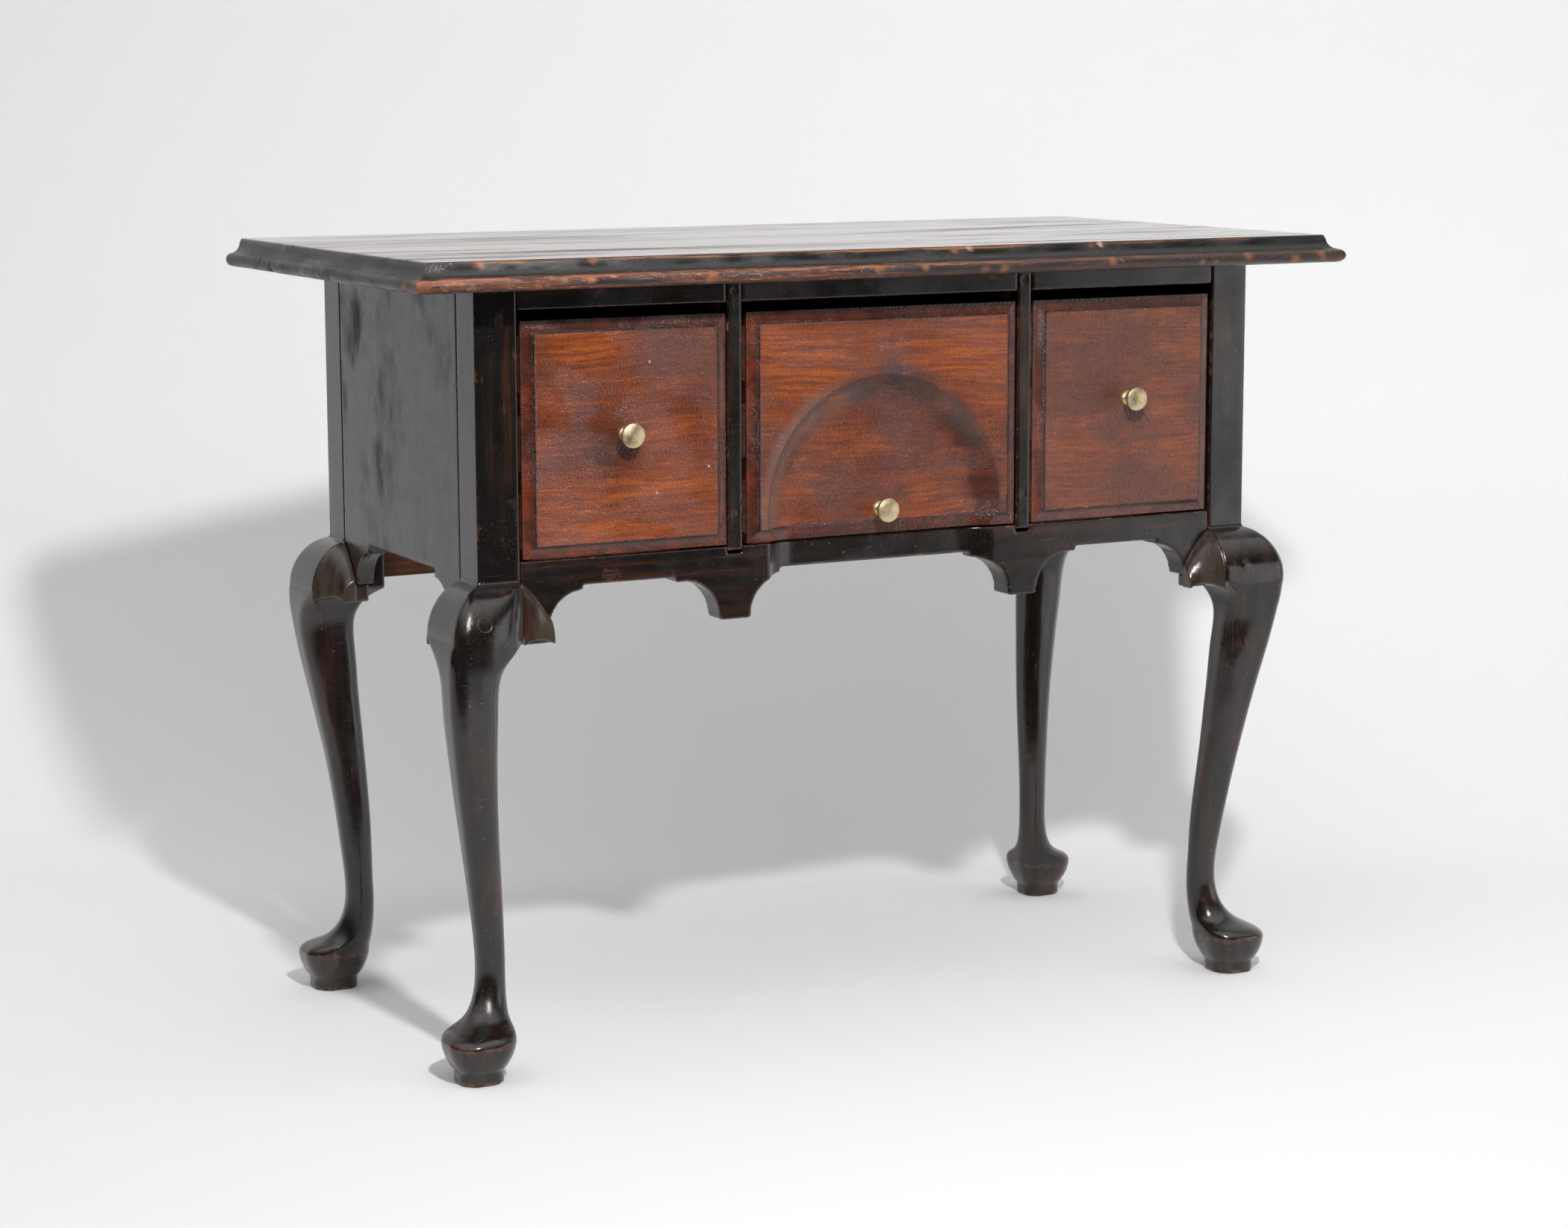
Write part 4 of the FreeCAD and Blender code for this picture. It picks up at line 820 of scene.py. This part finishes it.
def with_plugs(node, plug):
    """The node's mesh together with every loose piece of the plug node that lies wholly inside its box."""
    low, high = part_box(node)
    plugs = bmesh.new()
    plugs.from_mesh(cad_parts[plug].data)
    bmesh.ops.remove_doubles(plugs, verts=plugs.verts, dist=WELD)
    seen, outside = set(), []
    for start in plugs.verts:
        if start in seen:
            continue
        island = connected(start)
        seen |= island
        if not all(low[i] - MM < vert.co[i] < high[i] + MM for vert in island for i in range(3)):
            outside += list(island)
    bmesh.ops.delete(plugs, geom=outside, context="VERTS")
    plugs.from_mesh(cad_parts[node].data)
    mesh = bpy.data.meshes.new("draft")
    plugs.to_mesh(mesh)
    plugs.free()
    return mesh


def remeshed(node, voxel, soften, plug=None):
    """The node's solid as an even mesh with softly rounded edges."""
    source = with_plugs(node, plug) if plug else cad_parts[node].data.copy()
    draft = add_object("draft", source)
    draft.modifiers.new("weld", "WELD").merge_threshold = WELD
    cubes = draft.modifiers.new("voxels", "REMESH")
    cubes.mode = "VOXEL"
    cubes.voxel_size = voxel
    smooth = draft.modifiers.new("soften", "SMOOTH")
    smooth.factor = 0.5
    smooth.iterations = soften
    depsgraph = bpy.context.evaluated_depsgraph_get()
    mesh = bpy.data.meshes.new_from_object(draft.evaluated_get(depsgraph))
    bpy.data.objects.remove(draft)
    shade_smooth(mesh)
    return mesh


def share_at(co, scale):
    """Smooth noise between 0 and 1, with so many features per metre in x, y and z."""
    return 0.5 + 0.5 * noise.noise(Vector([a * b for a, b in zip(co, scale)]))


def chip_depth(co, chips):
    """How deep the deepest chip at this point is."""
    deepest = 0.0
    for place, radius, sunk in chips:
        away = (co - place).length / radius
        if away < 1.0:
            jagged = 0.75 + 0.5 * noise.noise(co * CHIP_GRAIN)
            deepest = max(deepest, (1 - away * away) * jagged * sunk)
    return deepest


def weathered(mesh, hollows, marks, grain, chips=()):
    """Sink the surface by broad hollows and fine marks along the grain, and knock chips out of it."""
    broad, fine = along(grain, 4, 24), along(grain, 9, 90)
    moved, bare = [], []
    for vertex in mesh.vertices:
        co = vertex.co
        chip = chip_depth(co, chips)
        depth = hollows * share_at(co, broad) + marks * share_at(co, fine)
        point = co - vertex.normal * (depth + chip)
        point.z = max(point.z, 0.0)
        moved.extend(point)
        bare.append(unit(chip / CHIP_BARE))
    mesh.vertices.foreach_set("co", moved)
    add_layer(mesh, "bare", bare)
    mesh.update()
    return mesh


def knee_reach(z):
    """How far the knee stands outside the post's faces at height z, as in the solid."""
    if z < SHOULDER_Z:
        return KNEE_BULGE - KNEE_TAPER * min((SHOULDER_Z - z) / KNEE_TAPER_HEIGHT, 2.0) ** 1.5
    share = min((z - SHOULDER_Z) / (KNEE_TOP_Z - SHOULDER_Z), 1.0)
    return KNEE_BULGE * (1 - share * share) ** 0.6


def pare_knee(mesh, deeper=0.0):
    """The front left knee is pared back round towards its block, and evened out there."""
    pared = []
    for vertex in mesh.vertices:
        x, y, z = vertex.co.x + CASE_SIDE_X, vertex.co.y - CASE_FRONT_Y, vertex.co.z
        if not SHOULDER_Z - PARE_BELOW < z < KNEE_TOP_Z or y > 0 or vertex.co.x > 0:
            continue
        reach = knee_reach(z)
        scale = reach / KNEE_BULGE
        radius = PARE_RADIUS * scale
        across = x - (POST + PARE_OVER * scale - radius)
        if across > -SMOOTH_BESIDE and z < KNEE_TOP_Z - SMOOTH_UNDER_TOP and x < POST - SMOOTH_OFF_BLOCK:
            pared.append(vertex.index)
        if across <= 0:
            continue
        cut = radius - math.sqrt(max(radius * radius - across * across, 0.0))
        cut *= unit((z - SHOULDER_Z + PARE_BELOW) / PARE_FADE)
        vertex.co.y = max(y, cut - reach + deeper) + CASE_FRONT_Y
    smooth_part(mesh, pared, SMOOTH_ROUNDS)


def smooth_part(mesh, chosen, rounds):
    """Even out the chosen vertices of a mesh."""
    shape = bmesh.new()
    shape.from_mesh(mesh)
    shape.verts.ensure_lookup_table()
    verts = [shape.verts[index] for index in chosen]
    for _ in range(rounds):
        bmesh.ops.smooth_vert(shape, verts=verts, factor=0.5,
                              use_axis_x=True, use_axis_y=True, use_axis_z=True)
    shape.to_mesh(mesh)
    shape.free()


def sink_knee_peg(mesh):
    """The peg in the pared knee stays under its surface."""
    pare_knee(mesh, PEG_DEEPER)


def block_thickness(way):
    """The solid block's thickness at a share of its length, where 1 is its thickness at the leg."""
    return 1 - 0.9 * way if way < 0.5 else 0.55 - 0.26 * (way - 0.5)


def thin_block(mesh):
    """The block beside that knee is thinned to meet it."""
    for vertex in mesh.vertices:
        x, y = vertex.co.x + CASE_SIDE_X, vertex.co.y - CASE_FRONT_Y
        if y < 0:
            way = unit((x - POST) / BLOCK_LENGTH)
            vertex.co.y = y * (THIN_AT_LEG + THIN_GAIN * way) / block_thickness(way) + CASE_FRONT_Y


def close_seams(mesh):
    """The side panel meets the posts in hairlines: its shoulders press a little into their rounded edges."""
    ys = [vertex.co.y for vertex in mesh.vertices]
    middle = (min(ys) + max(ys)) / 2
    half = (max(ys) - min(ys)) / 2
    for vertex in mesh.vertices:
        vertex.co.y = middle + (vertex.co.y - middle) * (half + SEAM_PRESS) / half


def carved(node, material, voxel, soften=3, grain="z", hollows=0.15 * MM, marks=0.08 * MM, chips=(),
           plug=None, shape=None):
    mesh = remeshed(node, voxel, soften, plug)
    if shape:
        shape(mesh)
        mesh.update()
    mesh = weathered(mesh, hollows, marks, grain, chips)
    new_piece("worn_" + node, mesh, material, "case", "black_paint", node)


# ------ the top
LENGTH_STEP = 3 * MM
DEPTH_STEP = 5 * MM
ARRIS_STEPS, COVE_STEPS, NOSE_STEPS = 4, 8, 10
GROOVE_HALF = 0.9 * MM
SEAM_DEPTH = 1.1 * MM
SMOOTH_ANGLE = math.radians(40)

# The crack in the front board, from its left end to its right end
CRACK = [(-324 * MM, -66.5 * MM), (-194 * MM, -71.5 * MM), (-50 * MM, -102.5 * MM), (78 * MM, -111.5 * MM)]
CRACK_DEPTH = 1.2 * MM
CRACK_TAPER = 30 * MM
CRACK_WANDER = 0.8 * MM

# Wear of the boards
HOLLOW = 0.22 * MM
RIPPLE = 0.05 * MM
EDGE_WEAR = 1.4
EDGE_ZONE = 18 * MM
LEVEL_ZONE = 0.1 * MM
KNOCK_GRAIN = 500
KNOCK_FULL = 0.35 * MM
FRONT_KNOCKS, END_KNOCKS = 34, 10
BACK_BOARD_SHORT = 1.2 * MM
BACK_BOARD_END = 20 * MM


def moulding_profile():
    """(inset from the outermost edge, height) from the top's surface down to its underside."""
    points = [(MOULD_REACH + ARRIS_ROUND, TOP_Z)]
    for step in range(1, ARRIS_STEPS + 1):
        turn = math.pi / 2 * step / ARRIS_STEPS
        inset = MOULD_REACH + ARRIS_ROUND * (1 - math.sin(turn))
        points.append((inset, TOP_Z - ARRIS_ROUND * (1 - math.cos(turn))))
    x0, z0 = MOULD_REACH - COVE_OUT, TOP_Z - COVE_DROP
    x1, z1 = NOSE_RADIUS, UNDER_Z + 2 * NOSE_RADIUS
    slope = Vector((z1 - z0, -(x1 - x0))).normalized()
    points.append((x0, z0))
    for step in range(1, COVE_STEPS + 1):
        share = step / COVE_STEPS
        bow = 4 * share * (1 - share) * COVE_SAG
        points.append((x0 + (x1 - x0) * share - slope.x * bow, z0 + (z1 - z0) * share - slope.y * bow))
    for step in range(1, NOSE_STEPS + 1):
        turn = math.pi * step / NOSE_STEPS
        points.append((NOSE_RADIUS * (1 - math.sin(turn)), UNDER_Z + NOSE_RADIUS * (1 + math.cos(turn))))
    return points


PROFILE = moulding_profile()


def spread(start, end, step):
    """Evenly spaced values from start to end, both included."""
    count = max(int(round(abs(end - start) / step)), 1)
    return [start + (end - start) * i / count for i in range(count + 1)]


def crack_y(x):
    """The crack's y at x, held level beyond its ends."""
    if x <= CRACK[0][0]:
        return CRACK[0][1]
    for (x0, y0), (x1, y1) in zip(CRACK, CRACK[1:]):
        if x <= x1:
            return y0 + (y1 - y0) * (x - x0) / (x1 - x0) + CRACK_WANDER * noise.noise(Vector((x * 60, 0, 0)))
    return CRACK[-1][1]


def depth_rows(y0, y1, cracked):
    """Functions of x that give each row's y, from the board's front to its back."""
    rim = GROOVE_HALF
    rows = [lambda x: y0, lambda x: y0 + rim]
    if cracked:
        half = GROOVE_HALF / 2
        steps = spread(0.0, 1.0, DEPTH_STEP / (0.5 * (y1 - y0)))[1:]
        rows += [lambda x, t=t: y0 + rim + (crack_y(x) - half - y0 - rim) * t for t in steps]
        rows.append(crack_y)
        rows += [lambda x, t=t: crack_y(x) + half + (y1 - rim - crack_y(x) - half) * t for t in [0.0] + steps]
    else:
        rows += [lambda x, y=y: y for y in spread(y0 + rim, y1 - rim, DEPTH_STEP)[1:]]
    rows.append(lambda x: y1)
    return rows


def board_chips():
    """Knocks along the front's arris and bead, and round the left end: (place, radius, depth, kind)."""
    left, front = -HALF_WIDTH, FRONT_EDGE_Y
    knocks = []
    for _ in range(FRONT_KNOCKS):
        x = rng.uniform(-HALF_WIDTH, HALF_WIDTH)
        z = rng.choice((TOP_Z - 2 * MM, UNDER_Z + 4 * MM, UNDER_Z + 9 * MM))
        y = front + (13 * MM if z > UNDER_Z + 20 * MM else 1 * MM)
        knocks.append((Vector((x, y, z)), rng.uniform(2.5, 6.0) * MM, rng.uniform(0.25, 0.9) * MM, "bare"))
    for _ in range(END_KNOCKS):
        y = rng.uniform(front, BACK_EDGE_Y)
        knocks.append((Vector((left + 1 * MM, y, UNDER_Z + rng.uniform(2, 10) * MM)),
                       rng.uniform(2.5, 5.0) * MM, rng.uniform(0.25, 0.8) * MM, "bare"))
    for x, y, z, radius, depth, kind in (
            # The first is a deep break under the left end at the back seam, painted near-black as shade.
            (left + 2 * MM, SECOND_SEAM_Y - 2 * MM, UNDER_Z + 1 * MM, 9, 5.5, "dirt_and_shade"),
            (left + 13 * MM, SECOND_SEAM_Y, TOP_Z - 3 * MM, 4, 1.2, "bare"),
            (left + 3 * MM, front + 30 * MM, UNDER_Z, 9, 3.0, "bare"),
            (left + 1 * MM, front + 1 * MM, UNDER_Z + 6 * MM, 7, 1.6, "bare"),
            (66 * MM, front + 14 * MM, TOP_Z - 2 * MM, 3, 0.8, "pale"),
            (205 * MM, front + 14 * MM, TOP_Z - 1.5 * MM, 3.5, 0.8, "pale")):
        knocks.append((Vector((x, y, z)), radius * MM, depth * MM, kind))
    return knocks


def inward_at(co):
    """The direction into the board from a point of its moulding."""
    return Vector((-co.x / HALF_WIDTH if abs(co.x) > HALF_WIDTH - EDGE_ZONE else 0.0,
                   1.0 if co.y < FRONT_EDGE_Y + EDGE_ZONE else 0.0,
                   -0.6 if co.z > (TOP_Z + UNDER_Z) / 2 else 0.6)).normalized()


def sink_lines(co, move, share, cracked):
    """Sink a point of the surface if it lies on a seam or on the crack, and mark it near-black: grime fills
    the seams and the crack.
    """
    if min(abs(co.y - FIRST_SEAM_Y), abs(co.y - SECOND_SEAM_Y)) < 0.05 * MM:
        move.z -= SEAM_DEPTH
        share["dirt_and_shade"] = 1.0
    if cracked and CRACK[0][0] < co.x < CRACK[-1][0] and abs(co.y - crack_y(co.x)) < 0.1 * MM:
        taper = min(min(co.x - CRACK[0][0], CRACK[-1][0] - co.x) / CRACK_TAPER, 1.0)
        move.z -= CRACK_DEPTH * taper
        share["dirt_and_shade"] = taper


def knocked(co, move, share, inward, knocks):
    """The move of a point, with a push inward by every knock that reaches it."""
    for place, radius, sunk, kind in knocks:
        away = (co - place).length / radius
        if away < 1.0:
            jagged = 0.7 + 0.6 * noise.noise(co * KNOCK_GRAIN)
            deep = (1 - away * away) * jagged * sunk
            move = move + inward * deep
            share[kind] = max(share[kind], min(deep / KNOCK_FULL, 1.0))
    return move


def wear_board(points, knocks, cracked):
    """Sink a board's points for its hollows, knocks, seams and crack; returns points and colour layers."""
    layers = {"bare": [], "pale": [], "dirt_and_shade": []}
    moved = []
    for point in points:
        co = Vector(point)
        sink = HOLLOW * (1 + noise.noise(co * 9)) + RIPPLE * (1 + noise.noise(co * 60))
        share = dict.fromkeys(layers, 0.0)
        inward = inward_at(co)
        move = Vector((0, 0, 0))
        if co.z > TOP_Z - LEVEL_ZONE:
            move.z -= sink
            sink_lines(co, move, share, cracked)
        elif co.z > UNDER_Z + LEVEL_ZONE:
            move += inward * sink * EDGE_WEAR
        move = knocked(co, move, share, inward, knocks)
        if co.y > SECOND_SEAM_Y + 0.01 * MM and co.x < -HALF_WIDTH + BACK_BOARD_END:
            move.x += BACK_BOARD_SHORT
        moved.append(co + move)
        for kind, value in share.items():
            layers[kind].append(value)
    return moved, layers


class Board:
    """One board of the top as an even mesh: moulded edge, surface, underside and its sawn edges."""

    def __init__(self, y0, y1, moulded):
        self.y0, self.y1, self.moulded = y0, y1, moulded
        inner = PROFILE[0][0]
        self.first = y0 + inner if moulded else y0
        self.columns = spread(-HALF_WIDTH + inner, HALF_WIDTH - inner, LENGTH_STEP)
        self.rows = depth_rows(self.first, y1, moulded)
        self.last_row, self.last_column = len(self.rows) - 1, len(self.columns) - 1
        self.verts, self.index, self.faces = [], {}, []
        self.add_surfaces()
        self.add_moulding()
        self.add_sawn_edges()

    def point(self, i, j, level):
        """The place of column i, row j; on the board's rim it follows the moulding."""
        inset, height = PROFILE[level]
        x = self.columns[i]
        y = self.rows[j](x)
        if i not in (0, self.last_column) and not (self.moulded and j == 0):
            return x, y, height
        if i == 0:
            x = -HALF_WIDTH + inset
        if i == self.last_column:
            x = HALF_WIDTH - inset
        if self.moulded:
            y = self.y1 - (self.y1 - y) * (self.y1 - (self.y0 + inset)) / (self.y1 - self.first)
        return x, y, height

    def vert(self, key):
        if key not in self.index:
            self.index[key] = len(self.verts)
            self.verts.append(self.point(*key))
        return self.index[key]

    def face(self, *keys):
        self.faces.append([self.vert(key) for key in keys])

    def add_surfaces(self):
        under = len(PROFILE) - 1
        for i in range(self.last_column):
            for j in range(self.last_row):
                self.face((i, j, 0), (i + 1, j, 0), (i + 1, j + 1, 0), (i, j + 1, 0))
                self.face((i, j, under), (i, j + 1, under), (i + 1, j + 1, under), (i + 1, j, under))

    def add_moulding(self):
        end = self.last_column
        for upper in range(len(PROFILE) - 1):
            lower = upper + 1
            for j in range(self.last_row):
                self.face((0, j, upper), (0, j + 1, upper), (0, j + 1, lower), (0, j, lower))
                self.face((end, j, upper), (end, j, lower), (end, j + 1, lower), (end, j + 1, upper))
            if self.moulded:
                for i in range(end):
                    self.face((i, 0, upper), (i, 0, lower), (i + 1, 0, lower), (i + 1, 0, upper))

    def add_sawn_edges(self):
        levels, inside = range(len(PROFILE)), range(1, self.last_column)
        for j in [self.last_row] if self.moulded else [0, self.last_row]:
            left = [(0, j, level) for level in levels]
            lower = [(i, j, levels[-1]) for i in inside]
            right = [(self.last_column, j, level) for level in levels]
            upper = [(i, j, 0) for i in inside]
            loop = left + lower + right[::-1] + upper[::-1]
            self.face(*(loop if j == 0 else loop[::-1]))


def top_board(node, y0, y1, moulded, knocks, material):
    board = Board(y0, y1, moulded)
    points, layers = wear_board(board.verts, knocks, moulded)
    mesh = bpy.data.meshes.new("worn_" + node)
    mesh.from_pydata(points, [], board.faces)
    for kind, values in layers.items():
        add_layer(mesh, kind, values)
    mesh.validate()
    shade_smooth(mesh)
    mesh.set_sharp_from_angle(angle=SMOOTH_ANGLE)
    new_piece("worn_" + node, mesh, material, "case", "black_paint", node)


def make_top():
    material = top_paint()
    knocks = board_chips()
    top_board("top_board_front", FRONT_EDGE_Y, FIRST_SEAM_Y, True, knocks, material)
    top_board("top_board_middle", FIRST_SEAM_Y, SECOND_SEAM_Y, False, knocks, material)
    top_board("top_board_back", SECOND_SEAM_Y, BACK_EDGE_Y, False, knocks, material)


make_top()


# ------ legs and case
def make_case():
    leg_paint = paint("leg_paint", "z", wear=0.28, brown=0.34, gloss=0.14, bubbles=0.24, feet=True,
                      rings=[(KNEE_RING, 6.5 * MM)])
    front_paint = paint("front_paint", "z", wear=0.8, brown=0.45)
    cross_paint = paint("cross_paint", "x", wear=0.6, brown=0.35)
    side_paint = paint("side_paint", "z", wear=0.3, brown=0.12, grain_depth=0.1, gloss=0.18, bubbles=0.22,
                       dull=0.5, speckle=0.0)
    block_paint = paint("block_paint", "z", wear=0.8, brown=0.5, gloss=0.18, bubbles=0.15, tone=OLIVE)
    for corner in ("front_left", "front_right", "back_left", "back_right"):
        shape = pare_knee if corner == "front_left" else None
        carved("leg_" + corner, leg_paint, 1.5 * MM, soften=4, hollows=0.3 * MM, plug="pegs", shape=shape)
        chips = [CHIP_ON_BLOCK] if corner == "front_left" else ()
        carved("knee_block_" + corner + "_side", block_paint, 1.1 * MM, chips=chips)
    for side in ("left", "right"):
        shape = thin_block if side == "left" else None
        carved("knee_block_front_" + side + "_face", block_paint, 1.1 * MM, shape=shape)
        carved("divider_" + side, front_paint, 1.1 * MM, soften=2)
        carved("side_panel_" + side, side_paint, 2 * MM, soften=2, hollows=0.4 * MM, marks=0.03 * MM,
               shape=close_seams)
    for node in ("front_apron", "top_rail"):
        carved(node, cross_paint, 1.5 * MM, soften=2, grain="x")
    carved("pegs", bpy.data.materials["top_paint"], 0.7 * MM, soften=1, hollows=0.8 * MM, marks=0.2 * MM,
           shape=sink_knee_peg)


make_case()


# ------ drawers and what stays as it is
# Patches of varnish: x, z and radius in millimetres. z is from the front's lower edge; x is from the left
# edge on the left drawer and from the middle of the table on the middle one. The dots are shares of the front.
GLOW_LEFT = ((115, 12, 120), (50, 5, 80))
DARK_MIDDLE = ((-22, 130, 20), (8, 138, 28), (40, 128, 24), (68, 104, 28), (86, 74, 26), (-78, 72, 16),
               (24, 34, 22), (102, 44, 26))
DOTS_LEFT = ((0.61, 0.81), (0.9, 0.35), (0.64, 0.25))


def assign(material, *names):
    for name in names:
        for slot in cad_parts[name].material_slots:
            slot.material = material


def left_varnish(low, high):
    """Bright at its left and along its foot, with a dark patch and three cream dots."""
    glow = [(low.x + x * MM, low.z + z * MM, radius * MM) for x, z, radius in GLOW_LEFT]
    glow.append((low.x + 60 * MM, high.z - 8 * MM, 60 * MM))
    dark = [(low.x + 85 * MM, low.z + 88 * MM, 35 * MM)]
    dots = [(low.x + across * (high.x - low.x), low.z + up * (high.z - low.z)) for across, up in DOTS_LEFT]
    return drawer_varnish("varnish_left", (low, high), glow=glow, dark=dark, dots=dots)


def middle_varnish(low, high):
    """Bright in both upper corners; dark round the arch, with painted shade in its cove."""
    glow = [(low.x + 55 * MM, high.z - 45 * MM, 80 * MM), (high.x - 45 * MM, high.z - 60 * MM, 75 * MM)]
    dark = [(x * MM, low.z + z * MM, radius * MM) for x, z, radius in DARK_MIDDLE]
    return drawer_varnish("varnish_middle", (low, high), arched=True, glow=glow, dark=dark)


def make_drawers():
    assign(left_varnish(*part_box("drawer_left_front")), "drawer_left_front")
    assign(middle_varnish(*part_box("drawer_middle_front")), "drawer_middle_front")
    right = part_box("drawer_right_front")
    # The right front gets a painted reflection haze.
    assign(drawer_varnish("varnish_right", right, smoky=0.85, reflection_haze=0.12), "drawer_right_front")
    lengthwise, crosswise = bare_wood("drawer_side_wood", "y"), bare_wood("drawer_back_wood", "x")
    metal, nails = brass(), iron()
    for node in ("drawer_left", "drawer_middle", "drawer_right"):
        assign(lengthwise, node + "_side_left", node + "_side_right")
        assign(crosswise, node + "_back", node + "_bottom")
        assign(metal, node + "_knob", node + "_knob_nut")
        assign(nails, node + "_bottom_nails")
    assign(nails, "divider_nails", "back_nails")


def make_inside():
    lengthwise = bare_wood("case_wood_long", "y", 0.8)
    for name in ("inner_runner_", "outer_runner_", "inner_guide_", "outer_guide_", "kicker_"):
        assign(lengthwise, name + "left", name + "right")
    assign(bare_wood("case_wood_cross", "x", 0.8), "back_panel", "drawer_stops", "top_glue_blocks")


make_drawers()
make_inside()
